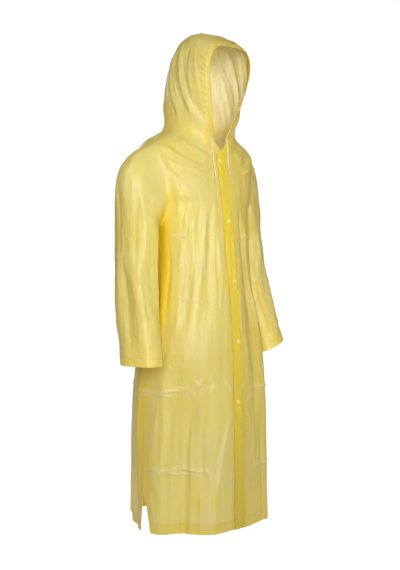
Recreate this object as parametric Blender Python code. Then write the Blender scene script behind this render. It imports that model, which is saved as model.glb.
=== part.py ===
"""A long hooded rain coat of thin plastic sheet, standing in the hollow shape its wearer gives it.

Metres, +Z up. The coat faces -Y and the wearer's right arm is at -X. The origin is at the middle of
the base of the neck, on the line of the shoulders, where the coat hangs from its wearer.

Every cloth piece is a wall between an outer sheet and the same sheet moved inwards. The outer sheets
come from three surfaces: the body tube, the sleeve and the half hood. Pieces that are joined at a
seam share that seam's points and its way in, and each stops half a gap short of it.
"""

import functools
import math

import bmesh
import bpy
import numpy as np
from mathutils import Vector

# ---------------------------------------------------------------- driving dimensions (metres)
WALL = 0.0016  # thickness of a single sheet
FACING_WALL = 0.0010  # the strip turned in along each front edge
CASING_WALL = 0.0030  # the doubled edge of the hood that the cord runs in
HEM_EXTRA = 0.0008  # how much thicker the folded hem and cuffs are
SEAM_GAP = 0.0004  # clear space at every seam
LAYER_GAP = 0.0003  # clear space between a sheet and what lies on it
LAP_GAP = 0.0008  # clear space between the two lapped fronts

LAP_WIDTH = 0.044  # how far the left front laps over the right one
LAP_EASE = 0.060  # width over which the left front comes back in beside the lap
V_DEPTH = 0.062  # how far the neck's opening reaches down
V_HALF = 0.0235  # half the width of that opening at the neckline
FACING_INSET = 0.0006  # the turned-in strips stop this far inside the front edges

SLIT_TOP = -1.034  # the side slits run from here down to the hem
SLIT_FRONT = 4.5  # degrees that the front's edge moves away from the slit at the hem
SLIT_BACK = 3.5

SNAP_COLUMNS = ("z", "across")  # across is from the lap's middle, + to the wearer's left
SNAPS = (
    (-0.064, -0.013),
    (-0.243, -0.002),
    (-0.419, 0.003),
    (-0.597, 0.002),
    (-0.773, -0.005),
)
SNAP_DIAMETER = 0.012
SNAP_HEIGHT = 0.0022
SNAP_BEVEL = 0.0009

CORD_DIAMETER = 0.004
KNOT_DIAMETER = 0.009
CORD_STEP = 0.010  # distance between the points of a cord's tube

# ---------------------------------------------------------------- mesh fineness
FRONT_COLUMNS = 14
LAP_COLUMNS = 3  # of the front's columns, the ones that cover the lap
CASING_COLUMNS = 2  # of those, the ones below the hood's casing
BACK_COLUMNS = 24
SKIRT_ROWS = 20  # from the hem to the armpit
ARMHOLE_ROWS = 10  # from the armpit to the shoulder tip
SHOULDER_ROWS = 4  # from the shoulder tip to the neckline
CAP_ROWS = 6  # of the sleeve, from the armhole to the upper arm
ARM_ROWS = 10  # of the sleeve, from the upper arm to the cuff's hem
HOOD_ROWS = 12  # from the neckline to the centre seam
HEM_STATION = 0.034  # the top of the folded hem, as a station of the body
CUFF_SHARE = 0.92  # the top of the folded cuff, as a share of the arm

# ---------------------------------------------------------------- the body tube, ring by ring
# station: 0 at the hem, 1 at the armpit, 2 at the shoulder tip, 3 at the neckline. front and back are
# depths from the ring's middle, and lap is where the middle of the fronts' lap lies. square and
# square_back are the exponents of the superellipses that the front half and the back half follow.
RING_COLUMNS = (
    "station", "z_front", "z_side", "z_back", "half_width", "front", "back", "middle", "square",
    "square_back", "lap",
)
BODY_RINGS = (
    (0.00, -1.148, -1.148, -1.148, 0.210, 0.171, 0.228, 0.012, 2.90, 2.00, 0.020),
    (0.22, -0.955, -0.955, -0.955, 0.205, 0.174, 0.228, 0.012, 2.75, 2.00, 0.016),
    (0.45, -0.753, -0.753, -0.753, 0.196, 0.176, 0.215, 0.010, 2.60, 2.05, 0.010),
    (0.66, -0.569, -0.569, -0.569, 0.180, 0.169, 0.192, 0.007, 2.45, 2.15, 0.005),
    (0.84, -0.411, -0.411, -0.411, 0.164, 0.158, 0.170, 0.006, 2.30, 2.25, 0.001),
    (1.00, -0.270, -0.270, -0.270, 0.162, 0.143, 0.150, 0.007, 2.35, 2.35, 0.000),
    (1.50, -0.172, -0.150, -0.140, 0.182, 0.130, 0.130, 0.006, 2.40, 2.40, -0.001),
    (1.88, -0.106, -0.050, -0.062, 0.199, 0.120, 0.115, 0.004, 2.32, 2.32, -0.002),
    (2.00, -0.090, -0.019, -0.040, 0.202, 0.118, 0.110, 0.004, 2.28, 2.28, -0.002),
    (2.12, -0.078, -0.009, -0.026, 0.190, 0.116, 0.107, 0.004, 2.24, 2.24, -0.003),
    (2.50, -0.043, 0.013, 0.008, 0.150, 0.110, 0.096, 0.002, 2.15, 2.15, -0.005),
    (3.00, 0.000, 0.038, 0.044, 0.093, 0.108, 0.084, 0.000, 2.10, 2.10, -0.008),
)
ARMHOLE_FRONT = 40.0  # degrees that the armhole reaches round to the front
ARMHOLE_BACK = 36.0

# Soft folds of the body. Angles run round from the front centre, + to the wearer's left, and a
# negative depth is a trough. half_width is across the fold, and the z values are where it ends.
FOLD_COLUMNS = ("angle_top", "angle_low", "half_width", "depth", "z_top", "z_low")
BODY_FOLDS = (
    (-8.0, -15.0, 0.030, 0.006, -0.78, -1.40),
    (-46.0, -50.0, 0.070, -0.048, -0.62, -1.40),
    (-30.0, -62.0, 0.034, -0.010, -0.12, -0.62),
    (-17.0, -36.0, 0.030, -0.008, -0.16, -0.66),
    (-46.0, -44.0, 0.030, 0.007, -0.10, -0.55),
    (20.0, 24.0, 0.030, -0.007, -0.18, -1.00),
    (44.0, 44.0, 0.044, 0.014, -0.40, -1.40),
    (68.0, 66.0, 0.034, -0.009, -0.50, -1.40),
    (-136.0, -138.0, 0.072, -0.034, -0.36, -1.40),
    (-166.0, -165.0, 0.040, 0.019, -0.40, -1.40),
    (178.0, 178.0, 0.030, -0.012, -0.18, -1.40),
    (160.0, 158.0, 0.036, 0.012, -0.35, -1.40),
    (134.0, 132.0, 0.040, -0.018, -0.25, -1.40),
    (112.0, 110.0, 0.034, 0.008, -0.50, -1.40),
)
FOLD_FADE = 0.22  # length over which a fold dies away at its ends
FOLD_RADIUS = 0.19  # turns an angle round the body into a width

# ---------------------------------------------------------------- sleeves
# share: 0 at the upper arm, 1 at the cuff. across, fore and z place the middle of a ring, fore
# towards the back. lift_out and lift_front raise its outer and its front point.
ARM_COLUMNS = ("share", "z", "across", "fore", "half_across", "half_fore", "lift_out", "lift_front")
RIGHT_ARM = (
    (0.00, -0.300, 0.226, 0.016, 0.056, 0.071, 0.006, 0.006),
    (0.30, -0.410, 0.232, 0.010, 0.056, 0.071, 0.004, 0.004),
    (0.60, -0.520, 0.241, -0.008, 0.055, 0.071, 0.002, 0.002),
    (1.00, -0.657, 0.252, -0.034, 0.053, 0.070, 0.000, 0.000),
)
LEFT_ARM = (
    (0.00, -0.300, 0.220, 0.022, 0.055, 0.071, 0.006, 0.006),
    (0.30, -0.410, 0.232, 0.013, 0.055, 0.071, 0.008, 0.004),
    (0.60, -0.510, 0.246, -0.003, 0.055, 0.071, 0.014, 0.006),
    (1.00, -0.632, 0.265, -0.034, 0.055, 0.070, 0.024, 0.010),
)
RIGHT_CAP = {"fullness": 1.66, "slope": 0.30}  # how far the sleeve's top stands out, and its fall
LEFT_CAP = {"fullness": 0.85, "slope": 0.50}
SLEEVE_FOLD_COLUMNS = ("turn_top", "turn_low", "half_turn", "depth", "share_top", "share_low")
SLEEVE_FOLDS = (
    (74.0, 96.0, 24.0, -0.007, 0.05, 0.70),
    (40.0, 62.0, 22.0, 0.005, 0.10, 0.80),
    (10.0, 28.0, 22.0, -0.006, 0.20, 1.20),
    (-34.0, -26.0, 24.0, 0.005, 0.10, 0.90),
    (-72.0, -84.0, 24.0, -0.006, 0.15, 0.80),
)
SLEEVE_FADE = 0.25
CAP_SHORTCUT = 0.35  # how much the sleeve turns straight towards the arm as it leaves the armhole

# ---------------------------------------------------------------- hood
# Ribs of the half hood, from the face edge (share 0) to the nape (share 1). Each is a Bezier curve
# from the neckline to the centre seam at (0, seam_y, seam_z), with handles rise and reach.
RIB_COLUMNS = ("share", "seam_y", "seam_z", "rise_x", "rise_y", "rise_z", "reach_x", "reach_y", "reach_z")
HOOD_RIBS = (
    (0.00, -0.148, 0.270, 0.038, -0.030, 0.120, 0.154, -0.004, 0.012),
    (0.11, -0.126, 0.291, 0.030, -0.020, 0.117, 0.154, -0.004, 0.012),
    (0.30, -0.060, 0.319, 0.026, 0.000, 0.120, 0.134, 0.000, 0.008),
    (0.50, 0.000, 0.320, 0.016, 0.006, 0.110, 0.110, 0.004, 0.008),
    (0.68, 0.040, 0.286, 0.008, 0.006, 0.090, 0.084, 0.006, 0.000),
    (0.84, 0.058, 0.216, 0.002, 0.002, 0.060, 0.052, 0.003, -0.004),
    (1.00, 0.070, 0.110, 0.000, -0.004, 0.022, 0.000, 0.002, -0.022),
)

HOOD_LEAN = 0.006  # how far the hood's face edge leans to the wearer's left

# ---------------------------------------------------------------- cord ends, down from the casing
RIGHT_CORD = (
    (-0.0383, -0.1036, 0.0007),
    (-0.0386, -0.1054, -0.0138),
    (-0.0389, -0.1069, -0.0318),
    (-0.0391, -0.1100, -0.0536),
    (-0.0394, -0.1147, -0.0773),
    (-0.0401, -0.1192, -0.1014),
    (-0.0406, -0.1224, -0.1213),
)
LEFT_CORD = (
    (0.0200, -0.1087, 0.0004),
    (0.0192, -0.1110, -0.0140),
    (0.0177, -0.1133, -0.0318),
    (0.0161, -0.1157, -0.0513),
    (0.0142, -0.1193, -0.0718),
    (0.0123, -0.1236, -0.0918),
)

# ---------------------------------------------------------------- finishes: colour, roughness
FINISHES = {
    "yellow_sheet": ((0.78, 0.66, 0.14), 0.42),
    "doubled_sheet": ((0.80, 0.62, 0.06), 0.42),
    "moulded_snap": ((0.86, 0.80, 0.42), 0.35),
    "braided_cord": ((0.86, 0.80, 0.52), 0.80),
}


# ---------------------------------------------------------------- reading the tables
def smooth_value(knots, values, place):
    """The value at one place of a smooth curve through the knots, flat beyond its ends."""
    place = min(max(place, knots[0]), knots[-1])
    steps = np.diff(knots)
    chords = np.diff(values) / steps
    inner = (chords[:-1] * steps[1:] + chords[1:] * steps[:-1]) / (steps[1:] + steps[:-1])
    slope = np.concatenate([[chords[0]], inner, [chords[-1]]])
    k = min(int(np.searchsorted(knots, place, side="right")) - 1, len(knots) - 2)
    t = (place - knots[k]) / steps[k]
    return (
        (2 * t**3 - 3 * t**2 + 1) * values[k]
        + (t**3 - 2 * t**2 + t) * steps[k] * slope[k]
        + (3 * t**2 - 2 * t**3) * values[k + 1]
        + (t**3 - t**2) * steps[k] * slope[k + 1]
    )


def read_table(columns, rows, place):
    """Every column of a table at a place along its first column, by name."""
    data = np.array(rows)
    return {name: smooth_value(data[:, 0], data[:, k], place) for k, name in enumerate(columns)}


@functools.lru_cache(maxsize=None)
def ring_at(station):
    return read_table(RING_COLUMNS, BODY_RINGS, station)


def ease(t):
    """0 below 0, 1 above 1 and smooth between."""
    t = min(max(t, 0.0), 1.0)
    return t * t * (3 - 2 * t)


def unit(vectors):
    length = np.linalg.norm(vectors, axis=-1, keepdims=True)
    return vectors / np.maximum(length, 1e-12)


def degrees_apart(angle, other):
    return (angle - other + 180.0) % 360.0 - 180.0


# ---------------------------------------------------------------- the body's surface
def fold_height(angle, z):
    """How far the body's folds move a point outwards."""
    height = 0.0
    for row in BODY_FOLDS:
        fold = dict(zip(FOLD_COLUMNS, row))
        down = (fold["z_top"] - z) / (fold["z_top"] - fold["z_low"])
        centre = fold["angle_top"] + (fold["angle_low"] - fold["angle_top"]) * min(max(down, 0.0), 1.0)
        across = math.radians(degrees_apart(angle, centre)) * FOLD_RADIUS / fold["half_width"]
        fade = ease((fold["z_top"] - z) / FOLD_FADE) * ease((z - fold["z_low"]) / FOLD_FADE)
        height += fold["depth"] * math.exp(-across * across) * fade
    return height


def body_point(angle, station):
    """A point of the body tube, angle degrees round from the front centre to the wearer's left."""
    ring = ring_at(station)
    turn = math.radians(angle)
    sine, cosine = math.sin(turn), math.cos(turn)
    depth, z_middle, square = (
        (ring["front"], ring["z_front"], ring["square"])
        if cosine > 0
        else (ring["back"], ring["z_back"], ring["square_back"])
    )
    power = 2.0 / square
    x = ring["half_width"] * math.copysign(abs(sine) ** power, sine)
    y = -depth * math.copysign(abs(cosine) ** power, cosine)
    z = ring["z_side"] + (z_middle - ring["z_side"]) * cosine * cosine
    out = unit(np.array([x / ring["half_width"] ** 2, y / depth**2, 0.0]))
    return np.array([x, y + ring["middle"], z]) + out * fold_height(angle, z)


def body_normal(angle, station):
    """The body's way out at a point, from small steps round it and up it."""
    turn, climb = 0.5, 0.01
    round_it = body_point(angle + turn, station) - body_point(angle - turn, station)
    up = body_point(angle, min(station + climb, 3.0)) - body_point(angle, max(station - climb, 0.0))
    return unit(np.cross(round_it, up))


def angle_at(x, station):
    """The angle at which the front of a body ring reaches a distance x from the centre."""
    ring = ring_at(station)
    share = (abs(x) / ring["half_width"]) ** (ring["square"] / 2.0)
    return math.copysign(math.degrees(math.asin(share)), x)


def body_stations():
    """The station of every row of the body, from the hem to the neckline."""
    skirt = [HEM_STATION + (1 - HEM_STATION) * k / (SKIRT_ROWS - 1) for k in range(SKIRT_ROWS)]
    armhole = [1.5 - 0.5 * math.cos(math.pi * k / ARMHOLE_ROWS) for k in range(1, ARMHOLE_ROWS + 1)]
    shoulder = [2 + k / SHOULDER_ROWS for k in range(1, SHOULDER_ROWS + 1)]
    return [0.0] + skirt + armhole + shoulder


STATIONS = body_stations()
ARMPIT_ROW = SKIRT_ROWS
TIP_ROW = SKIRT_ROWS + ARMHOLE_ROWS


def side_angle(row, armhole, slit):
    """Where a panel's outer edge is at a row: the slit, the side seam, the armhole or the shoulder seam."""
    opened = max(SLIT_TOP - ring_at(STATIONS[row])["z_side"], 0.0)
    angle = 90.0 - slit * opened / (SLIT_TOP - ring_at(0.0)["z_side"])
    if ARMPIT_ROW < row < TIP_ROW:
        angle -= armhole * math.sin(math.pi * (row - ARMPIT_ROW) / ARMHOLE_ROWS)
    return angle


# ---------------------------------------------------------------- sheets
class Sheet:
    """A grid of points with, at each, the way out: a unit vector, longer where two sheets share it."""

    def __init__(self, points, out):
        self.points = np.array(points, float)
        self.out = np.array(out, float)

    def part(self, rows, columns):
        return Sheet(self.points[rows, columns], self.out[rows, columns])

    def trim(self, low=0.0, high=0.0, first=0.0, last=0.0):
        """The same sheet stopped short by these lengths at its low, high, first and last edges."""
        trimmed = Sheet(self.points, self.out)
        grid = trimmed.points
        grid[0] += unit(grid[1] - grid[0]) * low
        grid[-1] += unit(grid[-2] - grid[-1]) * high
        grid[:, 0] += unit(grid[:, 1] - grid[:, 0]) * first
        grid[:, -1] += unit(grid[:, -2] - grid[:, -1]) * last
        return trimmed


def mitred(out, other_out):
    """The way out of a shared point, which lies one wall's depth under both sheets when followed inwards."""
    depth = 1.0 + np.sum(out * other_out, axis=-1, keepdims=True)
    return (out + other_out) / np.maximum(depth, 0.45)


def body_sheet(angles_of_row):
    """The body's sheet over the angles that a function gives for each row."""
    points, out = [], []
    for row, station in enumerate(STATIONS):
        angles = angles_of_row(row, station)
        points.append([body_point(angle, station) for angle in angles])
        out.append([body_normal(angle, station) for angle in angles])
    return Sheet(points, out)


def front_edge(station):
    """How far beyond the centre a front's free edge lies: + where the fronts lap, - in the open neck."""
    opening = ease((ring_at(station)["z_front"] + V_DEPTH) / V_DEPTH)
    return LAP_WIDTH / 2 - (LAP_WIDTH / 2 + V_HALF) * opening


def front_angles(row, station, side):
    """Angles of a front's columns, from its free edge: the lap in even steps, then the rest."""
    edges = [LAP_WIDTH * k / LAP_COLUMNS - front_edge(station) for k in range(LAP_COLUMNS + 1)]
    lap = [angle_at(ring_at(station)["lap"] + side * edge, station) for edge in edges]
    rest = FRONT_COLUMNS - LAP_COLUMNS
    last = side * side_angle(row, ARMHOLE_FRONT, SLIT_FRONT)
    return lap + [lap[-1] + (last - lap[-1]) * k / rest for k in range(1, rest + 1)]


def lap_height(x, station):
    """How far the left front stands out, to lie over its own facing and the right front."""
    full = WALL + LAYER_GAP + FACING_WALL + LAP_GAP
    beside = ease((ring_at(station)["lap"] + LAP_WIDTH / 2 + LAP_EASE - x) / LAP_EASE)
    below_neck = 1 - ease((ring_at(station)["z_front"] + 0.030) / 0.030)
    return full * beside * below_neck


def left_front_sheet():
    sheet = body_sheet(lambda row, station: front_angles(row, station, 1))
    for row, station in enumerate(STATIONS):
        for column in range(FRONT_COLUMNS):
            height = lap_height(sheet.points[row, column, 0], station)
            sheet.points[row, column] += sheet.out[row, column] * height
    return sheet


def right_front_sheet():
    return body_sheet(lambda row, station: front_angles(row, station, -1))


def back_sheet():
    """The back, with columns from the left side to the right side."""

    def angles(row, station):
        start = 180.0 - side_angle(row, ARMHOLE_BACK, SLIT_BACK)
        return [start + (360.0 - 2 * start) * k / BACK_COLUMNS for k in range(BACK_COLUMNS + 1)]

    return body_sheet(angles)


# ---------------------------------------------------------------- sleeves
def sleeve_swell(turn, share):
    """How far the sleeve's folds move a point outwards."""
    height = 0.0
    for row in SLEEVE_FOLDS:
        fold = dict(zip(SLEEVE_FOLD_COLUMNS, row))
        along = (share - fold["share_top"]) / (fold["share_low"] - fold["share_top"])
        centre = fold["turn_top"] + (fold["turn_low"] - fold["turn_top"]) * min(max(along, 0.0), 1.0)
        across = degrees_apart(turn, centre) / fold["half_turn"]
        start = ease((share - fold["share_top"]) / SLEEVE_FADE)
        end = ease((fold["share_low"] - share) / SLEEVE_FADE)
        height += fold["depth"] * math.exp(-across * across) * start * end
    return height


def arm_ring(arm, share, count, side):
    """A ring of the sleeve's tube, from its outermost point round by the front."""
    row = read_table(ARM_COLUMNS, arm, share)
    ring = []
    for k in range(count):
        turn = 2 * math.pi * k / count
        outward, forward = math.cos(turn), math.sin(turn)
        swell = sleeve_swell(math.degrees(turn), share)
        x = side * (row["across"] + (row["half_across"] + swell) * outward)
        y = row["fore"] - (row["half_fore"] + swell) * forward
        z = row["z"] + row["lift_out"] * outward + row["lift_front"] * forward
        ring.append((x, y, z))
    return np.array(ring)


def cap_ring(t, armhole, upper, below, cap, side):
    """A ring of the sleeve's cap: each point runs from the armhole outwards and bends down into the arm."""
    ring = []
    for k, start in enumerate(armhole):
        under = math.sin(math.pi * k / len(armhole)) ** 2
        seam_way = unit(np.array([side * (1.0 - 0.75 * under), 0.0, -cap["slope"] - 0.60 * under]))
        leave = unit(seam_way + CAP_SHORTCUT * unit(upper[k] - start))
        arrive = unit(below[k] - upper[k])
        reach = np.linalg.norm(upper[k] - start) * cap["fullness"]
        ring.append(
            (2 * t**3 - 3 * t**2 + 1) * start
            + (t**3 - 2 * t**2 + t) * reach * leave
            + (3 * t**2 - 2 * t**3) * upper[k]
            + (t**3 - t**2) * reach * arrive
        )
    return np.array(ring)


def armhole_places(side):
    """Where the armhole's points are: down the front's edge from the shoulder, and up the back's."""
    back_edge = 0 if side > 0 else BACK_COLUMNS
    down = [("front", row, FRONT_COLUMNS) for row in range(TIP_ROW, ARMPIT_ROW - 1, -1)]
    up = [("back", row, back_edge) for row in range(ARMPIT_ROW + 1, TIP_ROW)]
    return down + up


def sleeve_sheet(front, back, arm, cap, side):
    """A sleeve whose first ring is the armhole of this front and back, which then share its way out."""
    panels = {"front": front, "back": back}
    places = armhole_places(side)
    armhole = np.array([panels[name].points[row, column] for name, row, column in places])
    upper = arm_ring(arm, 0.0, len(armhole), side)
    below = arm_ring(arm, 0.05, len(armhole), side)
    rings = [cap_ring(k / CAP_ROWS, armhole, upper, below, cap, side) for k in range(CAP_ROWS)]
    shares = [CUFF_SHARE * k / ARM_ROWS for k in range(ARM_ROWS + 1)] + [1.0]
    rings += [arm_ring(arm, share, len(armhole), side) for share in shares]
    points = np.array(rings)
    round_it = np.roll(points, -1, axis=1) - np.roll(points, 1, axis=1)
    along = np.gradient(points, axis=0)
    out = unit(np.cross(round_it, along)) * side
    body_out = np.array([panels[name].out[row, column] for name, row, column in places])
    out[0] = mitred(body_out, out[0])
    for k, (name, row, column) in enumerate(places):
        panels[name].out[row, column] = out[0, k]
    back_edge = 0 if side > 0 else BACK_COLUMNS
    back.out[TIP_ROW, back_edge] = out[0, 0]
    back.out[ARMPIT_ROW, back_edge] = out[0, ARMHOLE_ROWS]
    return Sheet(points, out)


# ---------------------------------------------------------------- hood
def hood_rib(start, share, rise, side):
    """A point of the half hood: share from the face edge to the nape, rise from the neckline to the seam."""
    rib = read_table(RIB_COLUMNS, HOOD_RIBS, share)
    lean = HOOD_LEAN * (1.0 - share)
    handle = start + np.array([side * rib["rise_x"] + lean, rib["rise_y"], rib["rise_z"]])
    end = np.array([0.0, rib["seam_y"], rib["seam_z"]])
    reach = end + np.array([side * rib["reach_x"], rib["reach_y"], rib["reach_z"]])
    t = rise
    return (1 - t) ** 3 * start + 3 * (1 - t) ** 2 * t * handle + 3 * (1 - t) * t * t * reach + t**3 * end


def back_half(side):
    """The back's columns from beside the shoulder seam to the middle."""
    half = BACK_COLUMNS // 2
    return list(range(1, half + 1)) if side > 0 else list(range(BACK_COLUMNS - 1, half - 1, -1))


def neckline_of(front, back, side):
    return np.concatenate([front.points[-1], back.points[-1, back_half(side)]])


def hood_shares(fronts, back):
    """The share of each column of the hood: the same on both halves, so that they meet at the seam."""
    both = []
    for side in (1, -1):
        steps = np.linalg.norm(np.diff(neckline_of(fronts[side], back, side), axis=0), axis=1)
        both.append(np.concatenate([[0.0], np.cumsum(steps)]) / np.sum(steps))
    return np.mean(both, axis=0)


def hood_sheet(front, back, shares, side):
    """The half hood over the neckline of a front and half the back, which then share its way out."""
    back_columns = back_half(side)
    neckline = neckline_of(front, back, side)
    points = np.array(
        [
            [hood_rib(start, share, row / HOOD_ROWS, side) for start, share in zip(neckline, shares)]
            for row in range(HOOD_ROWS + 1)
        ]
    )
    out = np.cross(np.gradient(points, axis=1), np.gradient(points, axis=0)) * side
    out[-1, :, 0] = 0.0
    out[:, -1, 0] = 0.0
    out = unit(out)
    body_out = np.concatenate([front.out[-1], back.out[-1, back_columns]])
    out[0] = mitred(body_out, out[0])
    front.out[-1] = out[0, : FRONT_COLUMNS + 1]
    back.out[-1, back_columns] = out[0, FRONT_COLUMNS + 1 :]
    back.out[-1, 0 if side > 0 else BACK_COLUMNS] = out[0, FRONT_COLUMNS]
    return Sheet(points, out)


def casing_sheet(left, right):
    """The hood's face edge, from the right neckline over the top to the left neckline."""
    columns = slice(0, CASING_COLUMNS + 1)
    points = np.concatenate([right.points[:, columns], left.points[-2::-1, columns]])
    out = np.concatenate([right.out[:, columns], left.out[-2::-1, columns]])
    return Sheet(points, out)


# ---------------------------------------------------------------- objects
def remove_everything():
    for thing in list(bpy.data.objects):
        bpy.data.objects.remove(thing)


def finish_named(name):
    """The material of that name, made once."""
    if name in bpy.data.materials:
        return bpy.data.materials[name]
    colour, roughness = FINISHES[name]
    material = bpy.data.materials.new(name)
    material.use_nodes = True
    shader = material.node_tree.nodes["Principled BSDF"]
    shader.inputs["Base Color"].default_value = (*colour, 1.0)
    shader.inputs["Roughness"].default_value = roughness
    shader.inputs["Metallic"].default_value = 0.0
    return material


def add_object(name, data, finish, parent):
    thing = bpy.data.objects.new(name, data)
    data.materials.append(finish_named(finish))
    thing.parent = parent
    bpy.context.scene.collection.objects.link(thing)
    return thing


def mesh_from(bm, name):
    bmesh.ops.recalc_face_normals(bm, faces=bm.faces)
    mesh = bpy.data.meshes.new(name)
    bm.to_mesh(mesh)
    bm.free()
    mesh.shade_smooth()
    mesh.set_sharp_from_angle(angle=math.radians(50))
    return mesh


def add_wall(name, sheet, finish, parent, top=0.0, thickness=WALL, closed=False):
    """A cloth piece between the sheet moved in by top and the same sheet moved in by the thickness more.

    thickness is one number, or one for each point. closed joins the last column to the first.
    """
    rows, columns = sheet.points.shape[:2]
    depth = np.broadcast_to(np.asarray(thickness, float), (rows, columns))[..., None]
    outer = sheet.points - sheet.out * top
    inner = outer - sheet.out * depth
    if closed:
        outer = np.concatenate([outer, outer[:, :1]], axis=1)
        inner = np.concatenate([inner, inner[:, :1]], axis=1)
        columns += 1
    outer, inner = outer.reshape(-1, 3), inner.reshape(-1, 3)
    bm = bmesh.new()
    place = bm.verts.layers.int.new("place")
    bmesh.ops.create_grid(bm, x_segments=columns - 1, y_segments=rows - 1, size=1.0)
    for k, vertex in enumerate(bm.verts):
        vertex[place] = k
        vertex.co = outer[k]
    if closed:
        bmesh.ops.remove_doubles(bm, verts=bm.verts, dist=1e-6)
    copied = bmesh.ops.extrude_face_region(bm, geom=list(bm.faces))["geom"]
    for vertex in (item for item in copied if isinstance(item, bmesh.types.BMVert)):
        vertex.co = inner[vertex[place]]
    return add_object(name, mesh_from(bm, name), finish, parent)


def hem_thickness(sheet, first_column=0):
    """The wall of a body panel: thicker over the folded hem, beyond the lap."""
    thickness = np.full(sheet.points.shape[:2], WALL)
    thickness[:2, first_column:] += HEM_EXTRA
    return thickness


def add_body(fronts, back, parent):
    half_gap = SEAM_GAP / 2
    for side, name in ((1, "front_left"), (-1, "front_right")):
        panel = fronts[side].trim(high=half_gap, last=half_gap)
        add_wall(name, panel, "yellow_sheet", parent, thickness=hem_thickness(panel, LAP_COLUMNS + 1))
        strip = panel.part(slice(None), slice(0, LAP_COLUMNS + 1))
        strip = strip.trim(low=FACING_INSET, high=FACING_INSET, first=FACING_INSET)
        add_wall(name + "_facing", strip, "doubled_sheet", parent, WALL + LAYER_GAP, FACING_WALL)
    panel = back.trim(high=half_gap, first=half_gap, last=half_gap)
    add_wall("back", panel, "yellow_sheet", parent, thickness=hem_thickness(panel))


def add_sleeves(sleeves, parent):
    for side, name in ((1, "sleeve_left"), (-1, "sleeve_right")):
        sheet = sleeves[side].trim(low=SEAM_GAP)  # its rows leave the seam at a slant
        thickness = np.full(sheet.points.shape[:2], WALL)
        thickness[-2:] += HEM_EXTRA
        add_wall(name, sheet, "yellow_sheet", parent, thickness=thickness, closed=True)


def add_hood(hoods, parent):
    half_gap = SEAM_GAP / 2
    for side, name in ((1, "hood_left"), (-1, "hood_right")):
        half = hoods[side].part(slice(None), slice(CASING_COLUMNS, None))
        half = half.trim(low=half_gap, high=half_gap, first=half_gap, last=half_gap)
        add_wall(name, half, "yellow_sheet", parent)
    casing = casing_sheet(hoods[1], hoods[-1]).trim(low=half_gap, high=half_gap, last=half_gap)
    add_wall("hood_casing", casing, "doubled_sheet", parent, thickness=CASING_WALL)


def station_of(z):
    """The station at which the front's centre has this height."""
    low, high = 0.0, 3.0
    for _ in range(40):
        middle = (low + high) / 2
        if ring_at(middle)["z_front"] < z:
            low = middle
        else:
            high = middle
    return low


def add_snaps(parent):
    """The domed caps of the snap fasteners, on the left front's lap."""
    for k, row in enumerate(SNAPS):
        snap = dict(zip(SNAP_COLUMNS, row))
        station = station_of(snap["z"])
        x = ring_at(station)["lap"] + snap["across"]
        angle = angle_at(x, station)
        way_out = body_normal(angle, station)
        foot = body_point(angle, station) + way_out * (lap_height(x, station) + LAYER_GAP)
        radius = SNAP_DIAMETER / 2
        bm = bmesh.new()
        bmesh.ops.create_cone(
            bm, cap_ends=True, segments=20, radius1=radius, radius2=radius * 0.94, depth=SNAP_HEIGHT
        )
        rim = [edge for edge in bm.edges if all(vertex.co.z > 0 for vertex in edge.verts)]
        bmesh.ops.bevel(
            bm, geom=rim, offset=SNAP_BEVEL, segments=2, profile=0.5, affect="EDGES", material=-1
        )
        bmesh.ops.translate(bm, verts=bm.verts, vec=(0.0, 0.0, SNAP_HEIGHT / 2))
        name = f"snap_{k + 1}"
        cap = add_object(name, mesh_from(bm, name), "moulded_snap", parent)
        cap.location = foot
        cap.rotation_euler = Vector(way_out).to_track_quat("Z", "Y").to_euler()


def smooth_route(route):
    """Points one cord step apart on a smooth curve through the route's own points."""
    route = np.array(route)
    lengths = np.concatenate([[0.0], np.cumsum(np.linalg.norm(np.diff(route, axis=0), axis=1))])
    count = round(lengths[-1] / CORD_STEP)
    places = [lengths[-1] * k / count for k in range(count + 1)]
    return np.array([[smooth_value(lengths, route[:, axis], place) for axis in range(3)] for place in places])


def add_cord(name, route, parent):
    """A cord end and the knot that closes it."""
    points = smooth_route(route)
    curve = bpy.data.curves.new(name, "CURVE")
    curve.dimensions = "3D"
    curve.bevel_depth = CORD_DIAMETER / 2
    curve.bevel_resolution = 2
    curve.use_fill_caps = True
    spline = curve.splines.new("POLY")
    spline.points.add(len(points) - 1)
    for place, point in zip(spline.points, points):
        place.co = (*point, 1.0)
    add_object(name, curve, "braided_cord", parent)

    bm = bmesh.new()
    bmesh.ops.create_uvsphere(bm, u_segments=12, v_segments=8, radius=KNOT_DIAMETER / 2)
    knot = add_object(name + "_knot", mesh_from(bm, name + "_knot"), "braided_cord", parent)
    onwards = unit(points[-1] - points[-2])
    knot.location = points[-1] + onwards * (KNOT_DIAMETER / 2 + LAYER_GAP)


def build_coat():
    remove_everything()
    coat = bpy.data.objects.new("coat", None)
    bpy.context.scene.collection.objects.link(coat)
    fronts = {1: left_front_sheet(), -1: right_front_sheet()}
    back = back_sheet()
    sleeves = {
        1: sleeve_sheet(fronts[1], back, LEFT_ARM, LEFT_CAP, 1),
        -1: sleeve_sheet(fronts[-1], back, RIGHT_ARM, RIGHT_CAP, -1),
    }
    shares = hood_shares(fronts, back)
    hoods = {side: hood_sheet(fronts[side], back, shares, side) for side in (1, -1)}
    add_body(fronts, back, coat)
    add_sleeves(sleeves, coat)
    add_hood(hoods, coat)
    add_snaps(coat)
    add_cord("cord_right", RIGHT_CORD, coat)
    add_cord("cord_left", LEFT_CORD, coat)


build_coat()
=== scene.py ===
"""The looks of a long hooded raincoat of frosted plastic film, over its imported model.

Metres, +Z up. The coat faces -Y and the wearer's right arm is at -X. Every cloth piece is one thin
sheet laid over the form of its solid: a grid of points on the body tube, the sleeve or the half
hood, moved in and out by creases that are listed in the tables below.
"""

import functools
import math

import bmesh
import bpy
import numpy as np
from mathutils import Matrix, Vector, kdtree, noise


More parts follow.
